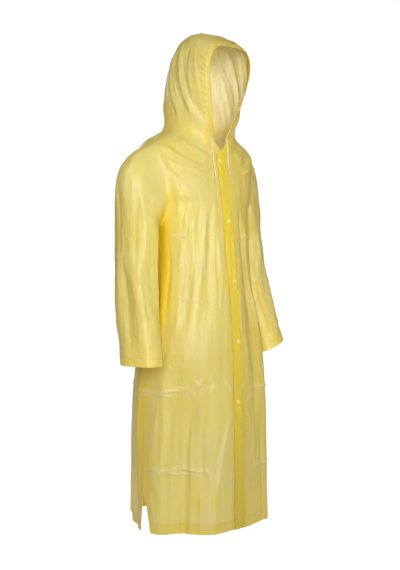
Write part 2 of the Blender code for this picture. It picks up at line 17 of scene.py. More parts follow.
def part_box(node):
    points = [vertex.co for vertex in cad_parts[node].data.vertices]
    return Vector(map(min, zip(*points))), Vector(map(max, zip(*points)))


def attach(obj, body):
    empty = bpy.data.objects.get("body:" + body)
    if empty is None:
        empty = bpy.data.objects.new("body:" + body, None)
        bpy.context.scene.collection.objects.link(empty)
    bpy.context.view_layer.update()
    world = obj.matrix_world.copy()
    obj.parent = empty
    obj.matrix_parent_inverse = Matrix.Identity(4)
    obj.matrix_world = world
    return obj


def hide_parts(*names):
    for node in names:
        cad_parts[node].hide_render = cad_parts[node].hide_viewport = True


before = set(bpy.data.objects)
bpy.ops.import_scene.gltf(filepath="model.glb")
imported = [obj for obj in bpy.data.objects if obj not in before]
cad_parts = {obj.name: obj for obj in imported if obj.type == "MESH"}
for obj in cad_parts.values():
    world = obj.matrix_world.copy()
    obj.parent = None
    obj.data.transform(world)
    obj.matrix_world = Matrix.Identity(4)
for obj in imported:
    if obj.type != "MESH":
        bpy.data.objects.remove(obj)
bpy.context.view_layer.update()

bl_info = {
    "name": "Hooded Raincoat",
    "version": (1, 0, 0),
    "blender": (4, 5, 0),
    "location": "View3D > Sidebar > Raincoat",
    "description": "Builds a long hooded raincoat of frosted plastic film with creases, snaps and a drawcord",
    "category": "Object",
}

ROOT = "root"

# ---------------------------------------------------------------- form, with the solids' values
# Only the right armhole's seam differs from them: see ARMHOLE_FRONT.
WALL = 0.0016
FACING_WALL = 0.0010
LAYER_GAP = 0.0003
LAP_GAP = 0.0008
LAP_WIDTH = 0.044  # how far the left front laps over the right one
LAP_EASE = 0.060  # the width over which the left front comes down beside the lap
LAP_FADE = 0.030  # the height over which the lap's step fades out below the neckline
V_DEPTH = 0.062
V_HALF = 0.0235
SLIT_TOP = -1.034
SLIT_FRONT = 4.5
SLIT_BACK = 3.5
HEM_LINE = -1.148
ARMHOLE_FRONT = {1: 40.0, -1: 22.0}  # the right armhole's seam lies 18 degrees further out than the solid's
ARMHOLE_BACK = 36.0
NECK_STATION = 3.0  # the hem is at 0, the armpit at 1 and the shoulder's tip at 2

RING_COLUMNS = (
    "station", "z_front", "z_side", "z_back", "half_width", "front", "back", "middle", "square",
    "square_back", "lap",
)
BODY_RINGS = (
    (0.00, -1.148, -1.148, -1.148, 0.210, 0.171, 0.228, 0.012, 2.90, 2.00, 0.020),
    (0.22, -0.955, -0.955, -0.955, 0.205, 0.174, 0.228, 0.012, 2.75, 2.00, 0.016),
    (0.45, -0.753, -0.753, -0.753, 0.196, 0.176, 0.215, 0.010, 2.60, 2.05, 0.010),
    (0.66, -0.569, -0.569, -0.569, 0.180, 0.169, 0.192, 0.007, 2.45, 2.15, 0.005),
    (0.84, -0.411, -0.411, -0.411, 0.164, 0.158, 0.170, 0.006, 2.30, 2.25, 0.001),
    (1.00, -0.270, -0.270, -0.270, 0.162, 0.143, 0.150, 0.007, 2.35, 2.35, 0.000),
    (1.50, -0.172, -0.150, -0.140, 0.182, 0.130, 0.130, 0.006, 2.40, 2.40, -0.001),
    (1.88, -0.106, -0.050, -0.062, 0.199, 0.120, 0.115, 0.004, 2.32, 2.32, -0.002),
    (2.00, -0.090, -0.019, -0.040, 0.202, 0.118, 0.110, 0.004, 2.28, 2.28, -0.002),
    (2.12, -0.078, -0.009, -0.026, 0.190, 0.116, 0.107, 0.004, 2.24, 2.24, -0.003),
    (2.50, -0.043, 0.013, 0.008, 0.150, 0.110, 0.096, 0.002, 2.15, 2.15, -0.005),
    (3.00, 0.000, 0.038, 0.044, 0.093, 0.108, 0.084, 0.000, 2.10, 2.10, -0.008),
)
BODY_FOLDS = (  # angle_top, angle_low, half_width, depth, z_top, z_low
    (-8.0, -15.0, 0.030, 0.006, -0.78, -1.40),
    (-46.0, -50.0, 0.070, -0.048, -0.62, -1.40),
    (-30.0, -62.0, 0.034, -0.010, -0.12, -0.62),
    (-17.0, -36.0, 0.030, -0.008, -0.16, -0.66),
    (-46.0, -44.0, 0.030, 0.007, -0.10, -0.55),
    (20.0, 24.0, 0.030, -0.007, -0.18, -1.00),
    (44.0, 44.0, 0.044, 0.014, -0.40, -1.40),
    (68.0, 66.0, 0.034, -0.009, -0.50, -1.40),
    (-136.0, -138.0, 0.072, -0.034, -0.36, -1.40),
    (-166.0, -165.0, 0.040, 0.019, -0.40, -1.40),
    (178.0, 178.0, 0.030, -0.012, -0.18, -1.40),
    (160.0, 158.0, 0.036, 0.012, -0.35, -1.40),
    (134.0, 132.0, 0.040, -0.018, -0.25, -1.40),
    (112.0, 110.0, 0.034, 0.008, -0.50, -1.40),
)
FOLD_FADE = 0.22
BODY_RADIUS = 0.19  # turns an angle round the body into a width
NECK_FLARE = 0.006  # how far the film lifts where the hood runs into the shoulders

ARM_COLUMNS = ("share", "z", "across", "fore", "half_across", "half_fore", "lift_out", "lift_front")
RIGHT_ARM = (
    (0.00, -0.300, 0.226, 0.016, 0.056, 0.071, 0.006, 0.006),
    (0.30, -0.410, 0.232, 0.010, 0.056, 0.071, 0.004, 0.004),
    (0.60, -0.520, 0.241, -0.008, 0.055, 0.071, 0.002, 0.002),
    (1.00, -0.657, 0.252, -0.034, 0.053, 0.070, 0.000, 0.000),
)
LEFT_ARM = (
    (0.00, -0.300, 0.220, 0.022, 0.055, 0.071, 0.006, 0.006),
    (0.30, -0.410, 0.232, 0.013, 0.055, 0.071, 0.008, 0.004),
    (0.60, -0.510, 0.246, -0.003, 0.055, 0.071, 0.014, 0.006),
    (1.00, -0.632, 0.265, -0.034, 0.055, 0.070, 0.024, 0.010),
)
RIGHT_CAP = {"fullness": 1.66, "slope": 0.30}
LEFT_CAP = {"fullness": 0.85, "slope": 0.50}
CAP_SHORTCUT = 0.35
SLEEVE_FOLDS = (  # turn_top, turn_low, half_turn, depth, share_top, share_low
    (74.0, 96.0, 24.0, -0.007, 0.05, 0.70),
    (40.0, 62.0, 22.0, 0.005, 0.10, 0.80),
    (10.0, 28.0, 22.0, -0.006, 0.20, 1.20),
    (-34.0, -26.0, 24.0, 0.005, 0.10, 0.90),
    (-72.0, -84.0, 24.0, -0.006, 0.15, 0.80),
)
SLEEVE_FADE = 0.25
SLEEVE_RADIUS = 0.063
CAP_LENGTH = 0.26
ARM_LENGTH = 0.36

RIB_COLUMNS = ("share", "seam_y", "seam_z", "rise_x", "rise_y", "rise_z", "reach_x", "reach_y", "reach_z")
HOOD_RIBS = (
    (0.00, -0.148, 0.270, 0.038, -0.030, 0.120, 0.154, -0.004, 0.012),
    (0.11, -0.126, 0.291, 0.030, -0.020, 0.117, 0.154, -0.004, 0.012),
    (0.30, -0.060, 0.319, 0.026, 0.000, 0.120, 0.134, 0.000, 0.008),
    (0.50, 0.000, 0.320, 0.016, 0.006, 0.110, 0.110, 0.004, 0.008),
    (0.68, 0.040, 0.286, 0.008, 0.006, 0.090, 0.084, 0.006, 0.000),
    (0.84, 0.058, 0.216, 0.002, 0.002, 0.060, 0.052, 0.003, -0.004),
    (1.00, 0.070, 0.110, 0.000, -0.004, 0.022, 0.000, 0.002, -0.022),
)
HOOD_LEAN = 0.006
HOOD_WIDTH = 0.30  # turn a share and a rise of the half hood into lengths
HOOD_HEIGHT = 0.38

SNAPS = (  # z, and the distance from the lap's middle
    (-0.064, -0.013),
    (-0.243, -0.002),
    (-0.419, 0.003),
    (-0.597, 0.002),
    (-0.773, -0.005),
)
RIGHT_CORD = (
    (-0.0383, -0.1036, 0.0007),
    (-0.0386, -0.1054, -0.0138),
    (-0.0389, -0.1069, -0.0318),
    (-0.0391, -0.1100, -0.0536),
    (-0.0394, -0.1147, -0.0773),
    (-0.0401, -0.1192, -0.1014),
    (-0.0406, -0.1224, -0.1213),
)
LEFT_CORD = (
    (0.0200, -0.1087, 0.0004),
    (0.0192, -0.1110, -0.0140),
    (0.0177, -0.1133, -0.0318),
    (0.0161, -0.1157, -0.0513),
    (0.0142, -0.1193, -0.0718),
    (0.0123, -0.1236, -0.0918),
)

# ---------------------------------------------------------------- fineness of the grids
FRONT_COLUMNS = 84
LAP_COLUMNS = 18
CASING_COLUMNS = 12
BACK_COLUMNS = 132
SKIRT_ROWS = 250
ARMHOLE_ROWS = 64
SHOULDER_ROWS = 26
CAP_ROWS = 40
ARM_ROWS = 84
HOOD_ROWS = 84

# ---------------------------------------------------------------- creases, listed one by one
# Each runs from a first to a last point. half_width and depth are in metres, a negative depth is a
# trough, bow bends it sideways, and sharp goes from 0, a soft fold, to 1, a pressed line.
BODY_CREASES = (  # angle, z, angle, z, half_width, depth, bow, sharp
    # lines pressed into the film by its packing, right front
    (-72.0, -0.284, -47.0, -0.287, 0.0040, 0.0018, 0.002, 1.0),
    (-26.0, -0.286, -7.0, -0.282, 0.0040, 0.0016, -0.002, 1.0),
    (-66.0, -0.462, -30.0, -0.474, 0.0045, 0.0017, 0.004, 1.0),
    (-44.0, -0.496, -10.0, -0.489, 0.0040, 0.0014, 0.003, 1.0),
    (-104.0, -0.739, -50.0, -0.733, 0.0042, 0.0026, 0.002, 1.0),
    (-100.0, -0.750, -58.0, -0.745, 0.0038, 0.0018, 0.001, 0.9),
    (-64.0, -0.728, -30.0, -0.722, 0.0040, 0.0014, 0.002, 0.9),
    (-97.0, -0.963, -9.0, -0.969, 0.0042, 0.0032, -0.003, 1.0),
    (-90.0, -0.973, -20.0, -0.978, 0.0038, 0.0024, -0.002, 1.0),
    (-24.0, -0.950, -17.0, -1.000, 0.0040, 0.0022, 0.001, 0.8),
    (-20.0, -0.946, -14.0, -0.992, 0.0038, 0.0020, -0.001, 0.8),
    # a star of short creases where two packing lines cross
    (-41.0, -0.700, -30.0, -0.728, 0.0045, 0.0022, 0.001, 0.8),
    (-40.0, -0.748, -27.0, -0.702, 0.0040, -0.0020, 0.002, 0.8),
    (-34.0, -0.770, -32.0, -0.690, 0.0040, 0.0020, 0.001, 0.8),
    (-27.0, -0.742, -16.0, -0.712, 0.0050, 0.0018, 0.002, 0.7),
    (-47.0, -0.726, -37.0, -0.760, 0.0045, 0.0018, -0.002, 0.7),
    # the pull of the lowest snap, and the ridge from there to the hem
    (-1.5, -0.790, -14.0, -1.050, 0.0046, 0.0034, 0.005, 0.85),
    (-12.5, -0.980, -14.5, -1.260, 0.0060, 0.0026, 0.002, 0.6),
    (-5.0, -0.820, -19.0, -1.020, 0.0080, -0.0026, 0.004, 0.4),
    (0.5, -0.774, 3.0, -0.812, 0.0060, 0.0026, 0.001, 0.5),
    (5.5, -0.800, 1.0, -0.826, 0.0044, 0.0018, 0.001, 0.5),
    (0.5, -0.832, 3.5, -0.884, 0.0064, 0.0022, 0.001, 0.5),
    (6.0, -0.868, 3.0, -0.896, 0.0048, 0.0014, 0.001, 0.4),
    (7.0, -0.770, 17.0, -0.745, 0.0046, 0.0020, 0.002, 0.7),
    (8.0, -0.780, 14.0, -0.850, 0.0056, 0.0018, 0.003, 0.5),
    (-3.0, -0.745, -10.0, -0.690, 0.0050, 0.0022, 0.002, 0.7),
    # soft hanging folds of the torso
    (-43.0, -0.200, -54.0, -0.580, 0.0120, -0.0026, 0.006, 0.2),
    (-37.0, -0.230, -47.0, -0.540, 0.0090, 0.0019, 0.005, 0.3),
    (-16.0, -0.150, -31.0, -0.490, 0.0110, -0.0025, 0.004, 0.2),
    (-22.0, -0.190, -37.0, -0.440, 0.0080, 0.0016, 0.004, 0.4),
    (-56.0, -0.260, -66.0, -0.620, 0.0100, 0.0020, -0.004, 0.3),
    (-72.0, -0.300, -74.0, -0.560, 0.0090, -0.0021, 0.004, 0.3),
    (-84.0, -0.310, -80.0, -0.700, 0.0110, 0.0021, -0.004, 0.3),
    # fine streaks that hang from the shoulders and the snaps, fanned out towards the side
    (-10.0, -0.150, -24.0, -0.520, 0.0050, 0.0013, 0.004, 0.4),
    (-13.0, -0.140, -30.0, -0.480, 0.0046, -0.0012, 0.005, 0.4),
    (-20.0, -0.170, -41.0, -0.520, 0.0050, 0.0013, 0.006, 0.4),
    (-29.0, -0.170, -49.0, -0.470, 0.0048, -0.0012, 0.005, 0.4),
    (-35.0, -0.190, -56.0, -0.540, 0.0050, 0.0013, 0.005, 0.4),
    (-8.0, -0.300, -17.0, -0.640, 0.0046, 0.0012, 0.003, 0.4),
    (-45.0, -0.210, -63.0, -0.500, 0.0046, 0.0012, 0.005, 0.4),
    (-11.0, -0.190, -12.0, -0.410, 0.0042, 0.0014, 0.002, 0.5),
    (-14.5, -0.260, -17.5, -0.520, 0.0040, -0.0013, 0.002, 0.5),
    (-19.0, -0.330, -20.0, -0.600, 0.0045, 0.0014, -0.002, 0.5),
    (-26.0, -0.240, -30.0, -0.390, 0.0038, 0.0012, 0.001, 0.5),
    (-33.0, -0.310, -33.0, -0.560, 0.0042, -0.0013, 0.002, 0.5),
    (-48.0, -0.240, -51.0, -0.400, 0.0050, 0.0010, 0.002, 0.3),
    (-60.0, -0.330, -62.0, -0.520, 0.0060, 0.0008, 0.003, 0.2),
    (-7.0, -0.430, -8.0, -0.680, 0.0042, 0.0016, 0.001, 0.5),
    (-4.0, -0.260, -5.0, -0.400, 0.0036, -0.0014, 0.001, 0.5),
    (3.0, -0.280, 2.0, -0.430, 0.0040, 0.0015, 0.001, 0.5),
    (6.0, -0.440, 5.0, -0.590, 0.0040, 0.0015, 0.001, 0.5),
    # folds that follow the neckline from the shoulders to the throat
    (-78.0, -0.020, -15.0, -0.104, 0.0075, 0.0033, 0.012, 0.3),
    (-70.0, -0.002, -12.0, -0.080, 0.0070, -0.0033, 0.010, 0.3),
    (-62.0, 0.010, -13.0, -0.056, 0.0065, 0.0028, 0.008, 0.4),
    (-84.0, -0.050, -30.0, -0.146, 0.0080, -0.0028, 0.012, 0.3),
    (-52.0, -0.086, -20.0, -0.128, 0.0060, 0.0020, 0.006, 0.4),
    (74.0, -0.024, 19.0, -0.100, 0.0075, 0.0030, -0.010, 0.3),
    (66.0, -0.004, 16.0, -0.078, 0.0070, -0.0030, -0.008, 0.3),
    (58.0, 0.012, 17.0, -0.050, 0.0065, 0.0023, -0.006, 0.4),
    (80.0, -0.060, 34.0, -0.150, 0.0080, -0.0025, -0.010, 0.3),
    # drag lines towards the armholes
    (-50.0, -0.140, -62.0, -0.235, 0.0060, 0.0024, 0.003, 0.5),
    (-44.0, -0.165, -58.0, -0.275, 0.0060, -0.0022, 0.003, 0.4),
    (48.0, -0.150, 60.0, -0.245, 0.0060, 0.0024, -0.003, 0.5),
    # long folds of the skirt
    (-72.0, -0.640, -75.0, -1.130, 0.0150, 0.0040, 0.004, 0.2),
    (-62.0, -0.780, -64.0, -1.190, 0.0120, -0.0036, -0.003, 0.2),
    (-38.0, -0.800, -36.0, -1.200, 0.0130, 0.0040, 0.004, 0.3),
    (-27.0, -0.660, -25.0, -1.080, 0.0120, -0.0034, 0.003, 0.2),
    (-52.0, -1.000, -49.0, -1.230, 0.0080, 0.0034, 0.002, 0.4),
    (-31.0, -1.010, -30.0, -1.230, 0.0080, -0.0028, 0.002, 0.4),
    (-81.0, -0.760, -82.0, -1.060, 0.0070, 0.0026, 0.002, 0.4),
    (-20.0, -1.020, -19.0, -1.130, 0.0045, 0.0016, 0.001, 0.8),
    # left front
    (8.0, -0.735, 84.0, -0.732, 0.0045, 0.0024, 0.003, 1.0),
    (12.0, -0.966, 88.0, -0.972, 0.0045, 0.0026, 0.003, 1.0),
    (14.0, -0.286, 60.0, -0.290, 0.0042, 0.0018, -0.003, 1.0),
    (22.0, -0.480, 80.0, -0.474, 0.0042, 0.0020, 0.003, 1.0),
    (14.0, -0.170, 25.0, -0.560, 0.0100, -0.0034, 0.004, 0.3),
    (24.0, -0.200, 38.0, -0.620, 0.0090, 0.0034, 0.004, 0.3),
    (41.0, -0.210, 52.0, -0.540, 0.0110, -0.0038, 0.005, 0.2),
    (58.0, -0.300, 64.0, -0.700, 0.0100, 0.0036, 0.003, 0.3),
    (76.0, -0.330, 75.0, -0.640, 0.0110, -0.0030, 0.003, 0.3),
    (18.0, -0.640, 20.0, -1.060, 0.0100, 0.0036, 0.004, 0.3),
    (33.0, -0.760, 32.0, -1.220, 0.0110, -0.0038, 0.003, 0.2),
    (53.0, -0.700, 56.0, -1.190, 0.0150, -0.0024, 0.006, 0.1),
    (79.0, -0.640, 80.0, -1.180, 0.0120, 0.0036, 0.003, 0.3),
    (10.0, -0.560, 12.0, -0.700, 0.0060, 0.0018, 0.001, 0.4),
    (28.0, -0.400, 31.0, -0.520, 0.0060, 0.0015, 0.001, 0.4),
    # back
    (99.0, -0.290, 240.0, -0.286, 0.0045, 0.0024, 0.006, 1.0),
    (94.0, -0.486, 176.0, -0.480, 0.0045, 0.0022, 0.005, 1.0),
    (182.0, -0.474, 262.0, -0.482, 0.0045, 0.0020, -0.004, 1.0),
    (93.0, -0.733, 268.0, -0.738, 0.0045, 0.0026, 0.006, 1.0),
    (93.0, -0.969, 205.0, -0.964, 0.0045, 0.0026, 0.004, 1.0),
    (214.0, -0.971, 268.0, -0.962, 0.0045, 0.0026, 0.004, 1.0),
    (180.5, -0.120, 180.0, -1.180, 0.0042, 0.0022, 0.003, 1.0),
    (135.0, -0.300, 134.0, -1.150, 0.0042, 0.0016, 0.003, 1.0),
    (225.0, -0.340, 226.0, -1.190, 0.0042, 0.0018, -0.003, 1.0),
    (174.0, -0.705, 186.0, -0.765, 0.0045, 0.0020, 0.001, 0.8),
    (187.0, -0.708, 175.0, -0.762, 0.0042, -0.0018, 0.001, 0.8),
    (219.0, -0.950, 231.0, -0.985, 0.0045, 0.0018, 0.001, 0.8),
    (168.0, -0.010, 150.0, -0.260, 0.0110, -0.0042, 0.006, 0.3),
    (188.0, -0.020, 206.0, -0.300, 0.0110, -0.0040, -0.006, 0.3),
    (154.0, 0.010, 136.0, -0.170, 0.0090, 0.0034, 0.004, 0.4),
    (204.0, 0.010, 223.0, -0.180, 0.0090, 0.0034, -0.004, 0.4),
    (128.0, -0.130, 118.0, -0.300, 0.0090, -0.0034, 0.004, 0.3),
    (233.0, -0.120, 243.0, -0.320, 0.0090, -0.0036, -0.004, 0.3),
    (171.0, -0.200, 168.0, -0.660, 0.0130, 0.0046, 0.006, 0.2),
    (193.0, -0.260, 195.0, -0.720, 0.0120, -0.0044, 0.005, 0.2),
    (152.0, -0.300, 149.0, -0.840, 0.0120, -0.0042, 0.005, 0.2),
    (212.0, -0.300, 210.0, -0.640, 0.0110, 0.0044, 0.005, 0.3),
    (122.0, -0.360, 124.0, -0.800, 0.0110, 0.0040, 0.004, 0.3),
    (240.0, -0.380, 237.0, -0.760, 0.0120, 0.0042, 0.004, 0.3),
    (103.0, -0.420, 101.0, -0.760, 0.0100, -0.0036, 0.003, 0.3),
    (256.0, -0.360, 257.0, -0.720, 0.0110, -0.0036, 0.003, 0.3),
    (186.0, -0.680, 188.0, -1.200, 0.0130, 0.0048, 0.006, 0.2),
    (203.0, -0.760, 201.0, -1.210, 0.0110, -0.0042, 0.004, 0.3),
    (165.0, -0.800, 167.0, -1.210, 0.0120, -0.0042, 0.004, 0.3),
    (143.0, -0.640, 142.0, -1.160, 0.0110, 0.0042, 0.004, 0.3),
    (126.0, -0.860, 125.0, -1.200, 0.0100, -0.0036, 0.003, 0.3),
    (106.0, -0.680, 107.0, -1.180, 0.0120, 0.0040, 0.004, 0.3),
    (230.0, -0.700, 233.0, -1.220, 0.0130, 0.0044, 0.005, 0.2),
    (247.0, -0.720, 246.0, -1.130, 0.0110, -0.0040, 0.004, 0.3),
    (262.0, -0.560, 263.0, -1.110, 0.0100, 0.0034, 0.003, 0.3),
    # the back hangs flat behind the right side slit
    (246.0, -0.780, 249.0, -1.620, 0.0460, -0.0150, 0.002, 0.0),
    (160.0, -0.520, 158.0, -0.690, 0.0045, 0.0016, 0.001, 0.7),
    (198.0, -0.380, 199.0, -0.560, 0.0045, 0.0016, 0.001, 0.7),
    (218.0, -0.780, 217.0, -0.930, 0.0045, 0.0016, 0.001, 0.7),
)
SLEEVE_CREASES = (  # turn, distance from the upper arm, turn, distance, half_width, depth, bow, sharp
    # from the shoulder's tip down the outside
    (14.0, -0.220, 8.0, -0.030, 0.0080, 0.0019, 0.004, 0.4),
    (-16.0, -0.200, -10.0, 0.060, 0.0080, -0.0021, 0.004, 0.3),
    (42.0, -0.190, 34.0, 0.080, 0.0080, -0.0021, 0.005, 0.3),
    (58.0, -0.150, 62.0, 0.120, 0.0070, 0.0021, 0.004, 0.4),
    (-46.0, -0.170, -40.0, 0.100, 0.0080, 0.0021, 0.004, 0.4),
    # hanging folds of the arm
    (24.0, 0.000, 38.0, 0.300, 0.0090, 0.0022, 0.005, 0.3),
    (2.0, 0.040, 14.0, 0.340, 0.0080, -0.0021, 0.004, 0.3),
    (60.0, 0.020, 78.0, 0.280, 0.0080, -0.0022, -0.004, 0.4),
    (-22.0, -0.040, -14.0, 0.250, 0.0080, 0.0021, 0.004, 0.4),
    (-52.0, 0.030, -50.0, 0.330, 0.0090, -0.0022, 0.004, 0.3),
    (-86.0, -0.060, -96.0, 0.240, 0.0090, 0.0022, 0.004, 0.3),
    (-118.0, -0.020, -122.0, 0.300, 0.0090, -0.0022, 0.004, 0.3),
    (106.0, -0.060, 112.0, 0.220, 0.0080, 0.0021, 0.003, 0.4),
    (134.0, 0.020, 130.0, 0.330, 0.0080, -0.0021, 0.003, 0.4),
    (168.0, -0.040, 172.0, 0.260, 0.0080, 0.0019, 0.003, 0.4),
    (-150.0, 0.040, -146.0, 0.300, 0.0080, 0.0019, 0.003, 0.4),
    # small slanting wrinkles inside the elbow and above the cuff
    (30.0, 0.110, 82.0, 0.150, 0.0055, 0.0015, 0.004, 0.6),
    (18.0, 0.150, 66.0, 0.182, 0.0050, -0.0014, 0.004, 0.6),
    (-28.0, 0.180, 24.0, 0.150, 0.0050, 0.0014, 0.004, 0.6),
    (44.0, 0.215, 100.0, 0.240, 0.0055, 0.0015, 0.004, 0.6),
    (0.0, 0.255, 48.0, 0.280, 0.0050, 0.0014, 0.003, 0.6),
    (-44.0, 0.270, 0.0, 0.300, 0.0050, -0.0012, 0.003, 0.6),
    (60.0, 0.290, 110.0, 0.310, 0.0050, 0.0014, 0.003, 0.6),
    (-100.0, 0.140, -52.0, 0.165, 0.0055, 0.0015, 0.004, 0.6),
    (-130.0, 0.230, -80.0, 0.262, 0.0050, 0.0014, 0.004, 0.6),
    (120.0, 0.120, 170.0, 0.150, 0.0050, 0.0014, 0.004, 0.6),
    # a pressed line down the outside and one across
    (-3.0, -0.100, -2.0, 0.350, 0.0036, 0.0005, 0.002, 1.0),
    (-120.0, 0.055, 60.0, 0.050, 0.0038, 0.0010, 0.003, 1.0),
)
HOOD_CREASES = (  # share, rise, share, rise, half_width, depth, bow, sharp
    # folds that fall from the crown towards the throat
    (0.30, 0.72, 0.07, 0.04, 0.0120, -0.0028, -0.020, 0.3),
    (0.24, 0.66, 0.12, 0.05, 0.0080, 0.0024, -0.014, 0.4),
    (0.40, 0.76, 0.16, 0.04, 0.0110, 0.0026, -0.020, 0.3),
    (0.46, 0.62, 0.25, 0.05, 0.0140, -0.0018, -0.012, 0.2),
    (0.57, 0.66, 0.36, 0.06, 0.0110, 0.0024, -0.010, 0.3),
    (0.66, 0.56, 0.50, 0.05, 0.0110, -0.0022, -0.008, 0.3),
    (0.76, 0.60, 0.62, 0.06, 0.0080, 0.0020, -0.006, 0.3),
    (0.88, 0.56, 0.78, 0.08, 0.0080, -0.0018, -0.004, 0.3),
    # finer ones that slant between them
    (0.20, 0.74, 0.09, 0.24, 0.0050, 0.0015, -0.010, 0.5),
    (0.34, 0.58, 0.13, 0.10, 0.0046, -0.0014, -0.012, 0.4),
    (0.36, 0.48, 0.17, 0.02, 0.0050, 0.0016, -0.010, 0.5),
    (0.50, 0.56, 0.30, 0.12, 0.0048, 0.0015, -0.010, 0.5),
    (0.28, 0.30, 0.11, 0.00, 0.0044, 0.0014, -0.006, 0.5),
    (0.54, 0.40, 0.40, 0.03, 0.0050, -0.0013, -0.006, 0.4),
    (0.13, 0.52, 0.08, 0.14, 0.0042, -0.0013, -0.004, 0.4),
    # along the crown, where the film bunches behind the gathered edge
    (0.10, 0.90, 0.34, 0.86, 0.0060, -0.0017, 0.006, 0.5),
    (0.16, 0.82, 0.36, 0.94, 0.0060, 0.0016, 0.004, 0.5),
    (0.09, 0.74, 0.30, 0.80, 0.0055, 0.0016, 0.006, 0.5),
    (0.08, 0.56, 0.20, 0.62, 0.0050, -0.0013, 0.003, 0.5),
    (0.07, 0.40, 0.18, 0.42, 0.0050, 0.0013, 0.003, 0.5),
    (0.44, 0.88, 0.62, 0.82, 0.0060, 0.0015, 0.003, 0.5),
    # pressed lines
    (0.10, 0.50, 0.80, 0.46, 0.0038, 0.0007, 0.004, 1.0),
    (0.50, 0.96, 0.52, 0.10, 0.0038, 0.0009, 0.003, 1.0),
)
SNAP_PULLS = (  # degrees round the snap, length, half_width, depth
    (82.0, 0.034, 0.0040, 0.0016),
    (-74.0, 0.040, 0.0040, 0.0018),
    (-112.0, 0.032, 0.0036, -0.0014),
    (28.0, 0.026, 0.0036, 0.0012),
    (152.0, 0.028, 0.0036, 0.0012),
)
PULL_BOW = 0.001
PULL_SHARP = 0.6
SNAP_FLAT = 0.016  # how far round a snap the film is held flat
CREASE_ENDS = 0.22  # the share of a crease over which each end fades out
CREASE_WANDER = 0.25  # how far a crease wanders sideways, as a share of its half width
CREASE_UNEVEN = 0.3  # how much its depth varies
PRESSED_FROM = 0.65  # a ridge sharper than this gets a painted highlight along its crest
FULL_HIGHLIGHT_DEPTH = 0.0022  # and from this depth on it does so fully

# ---------------------------------------------------------------- bands, seams and shades
BAND_TONE = 0.40
BAND_SOFT = 0.004
FLARE_REACH = 0.026  # how far below the neckline the film starts to lift
THROAT_ANGLE, THROAT_FADE = 14.0, 30.0  # it doesn't lift so many degrees from the front centre
ARMHOLE_TOP, ARMHOLE_TOP_FADE = -0.11, 0.09  # the shade beside the armholes starts below this height
GATHER, GATHER_SPACING = 0.0007, 0.017  # the hood's face edge, bunched on its cord
CASING_TONE = 0.26  # twice that at the face edge
PUCKERS = 0.0028  # along the seam over the head
# how far the creases of each side are shifted round and stretched along, so that the sides differ
SLEEVE_SHIFT = {-1: (0.0, 1.0), 1: (23.0, 1.07)}
HOOD_SHIFT = {-1: (0.0, 1.0), 1: (0.035, 0.96)}

# ---------------------------------------------------------------- camera and light
PHOTO_HEIGHT = 570.0  # pixels
FOCAL_PIXELS = 984.0
SHIFT_PIXELS = (3.0, -23.0)
SENSOR_HEIGHT = 24.0  # millimetres
CAMERA_TURN = 44.0  # degrees round to the wearer's right
CAMERA_AWAY = 3.0
CAMERA_HEIGHT = -0.363
LIGHT_AIM = (0.0, 0.0, -0.20)


# ---------------------------------------------------------------- settings
class RaincoatFilm(bpy.types.PropertyGroup):
    thickness: bpy.props.FloatProperty(
        name="Film Thickness", description="Thickness of one sheet", default=0.0006, min=0.0002, unit="LENGTH"
    )
    single: bpy.props.StringProperty(
        name="Single Colour", description="Colour of one layer, sRGB hex", default="F2E995"
    )
    # also the colour of painted shade: on the left front, the hood's top, the back's sides and beside the
    # arms
    doubled_and_shade: bpy.props.StringProperty(
        name="Doubled Colour", description="Colour of welded hems and bands, sRGB hex", default="F3DC42"
    )
    # painted light: the inner side is a much paler copy of the film's yellow, painted as if lit through from
    # outside
    inside: bpy.props.StringProperty(
        name="Inside Colour", description="Colour of the matt inner side, sRGB hex", default="F6F0E8"
    )
    hem: bpy.props.FloatProperty(
        name="Hem", description="Height of the welded hem", default=0.030, unit="LENGTH"
    )
    cuff: bpy.props.FloatProperty(
        name="Cuff Hem", description="Height of the welded cuff hem", default=0.024, unit="LENGTH"
    )
    side_hem: bpy.props.FloatProperty(
        name="Side Hem", description="Width of the fronts' fold along the side seams and slits",
        default=0.020, unit="LENGTH",
    )
    facing: bpy.props.FloatProperty(
        name="Facing", description="Width of the right front's turned-in edge", default=0.050, unit="LENGTH"
    )
    creasing: bpy.props.FloatProperty(
        name="Creasing", description="Strength of the creases", default=1.2, min=0.0, max=2.0
    )


class RaincoatSnaps(bpy.types.PropertyGroup):
    diameter: bpy.props.FloatProperty(
        name="Diameter", description="Across one snap's cap", default=0.012, unit="LENGTH"
    )
    height: bpy.props.FloatProperty(
        name="Height", description="How far a cap stands out", default=0.0022, unit="LENGTH"
    )
    colour: bpy.props.StringProperty(
        name="Cap Colour", description="Colour of the caps, sRGB hex", default="F2E190"
    )


class RaincoatCord(bpy.types.PropertyGroup):
    diameter: bpy.props.FloatProperty(
        name="Diameter", description="Across the drawcord", default=0.004, unit="LENGTH"
    )
    knot: bpy.props.FloatProperty(
        name="Knot", description="Across the knot at each end", default=0.009, unit="LENGTH"
    )
    colour: bpy.props.StringProperty(
        name="Cord Colour", description="Colour of the braid, sRGB hex", default="EBE1B0"
    )


class RaincoatStage(bpy.types.PropertyGroup):
    floor: bpy.props.FloatProperty(
        name="Floor", description="Height of the floor", default=-1.50, unit="LENGTH"
    )
    key: bpy.props.FloatProperty(name="Key Light", description="Power of the soft key light", default=12.2)
    world: bpy.props.FloatProperty(name="World", description="Strength of the white surround", default=0.35)


class RaincoatSettings(bpy.types.PropertyGroup):
    film: bpy.props.PointerProperty(type=RaincoatFilm)
    snaps: bpy.props.PointerProperty(type=RaincoatSnaps)
    cord: bpy.props.PointerProperty(type=RaincoatCord)
    stage: bpy.props.PointerProperty(type=RaincoatStage)


def settings():
    return bpy.context.scene.raincoat


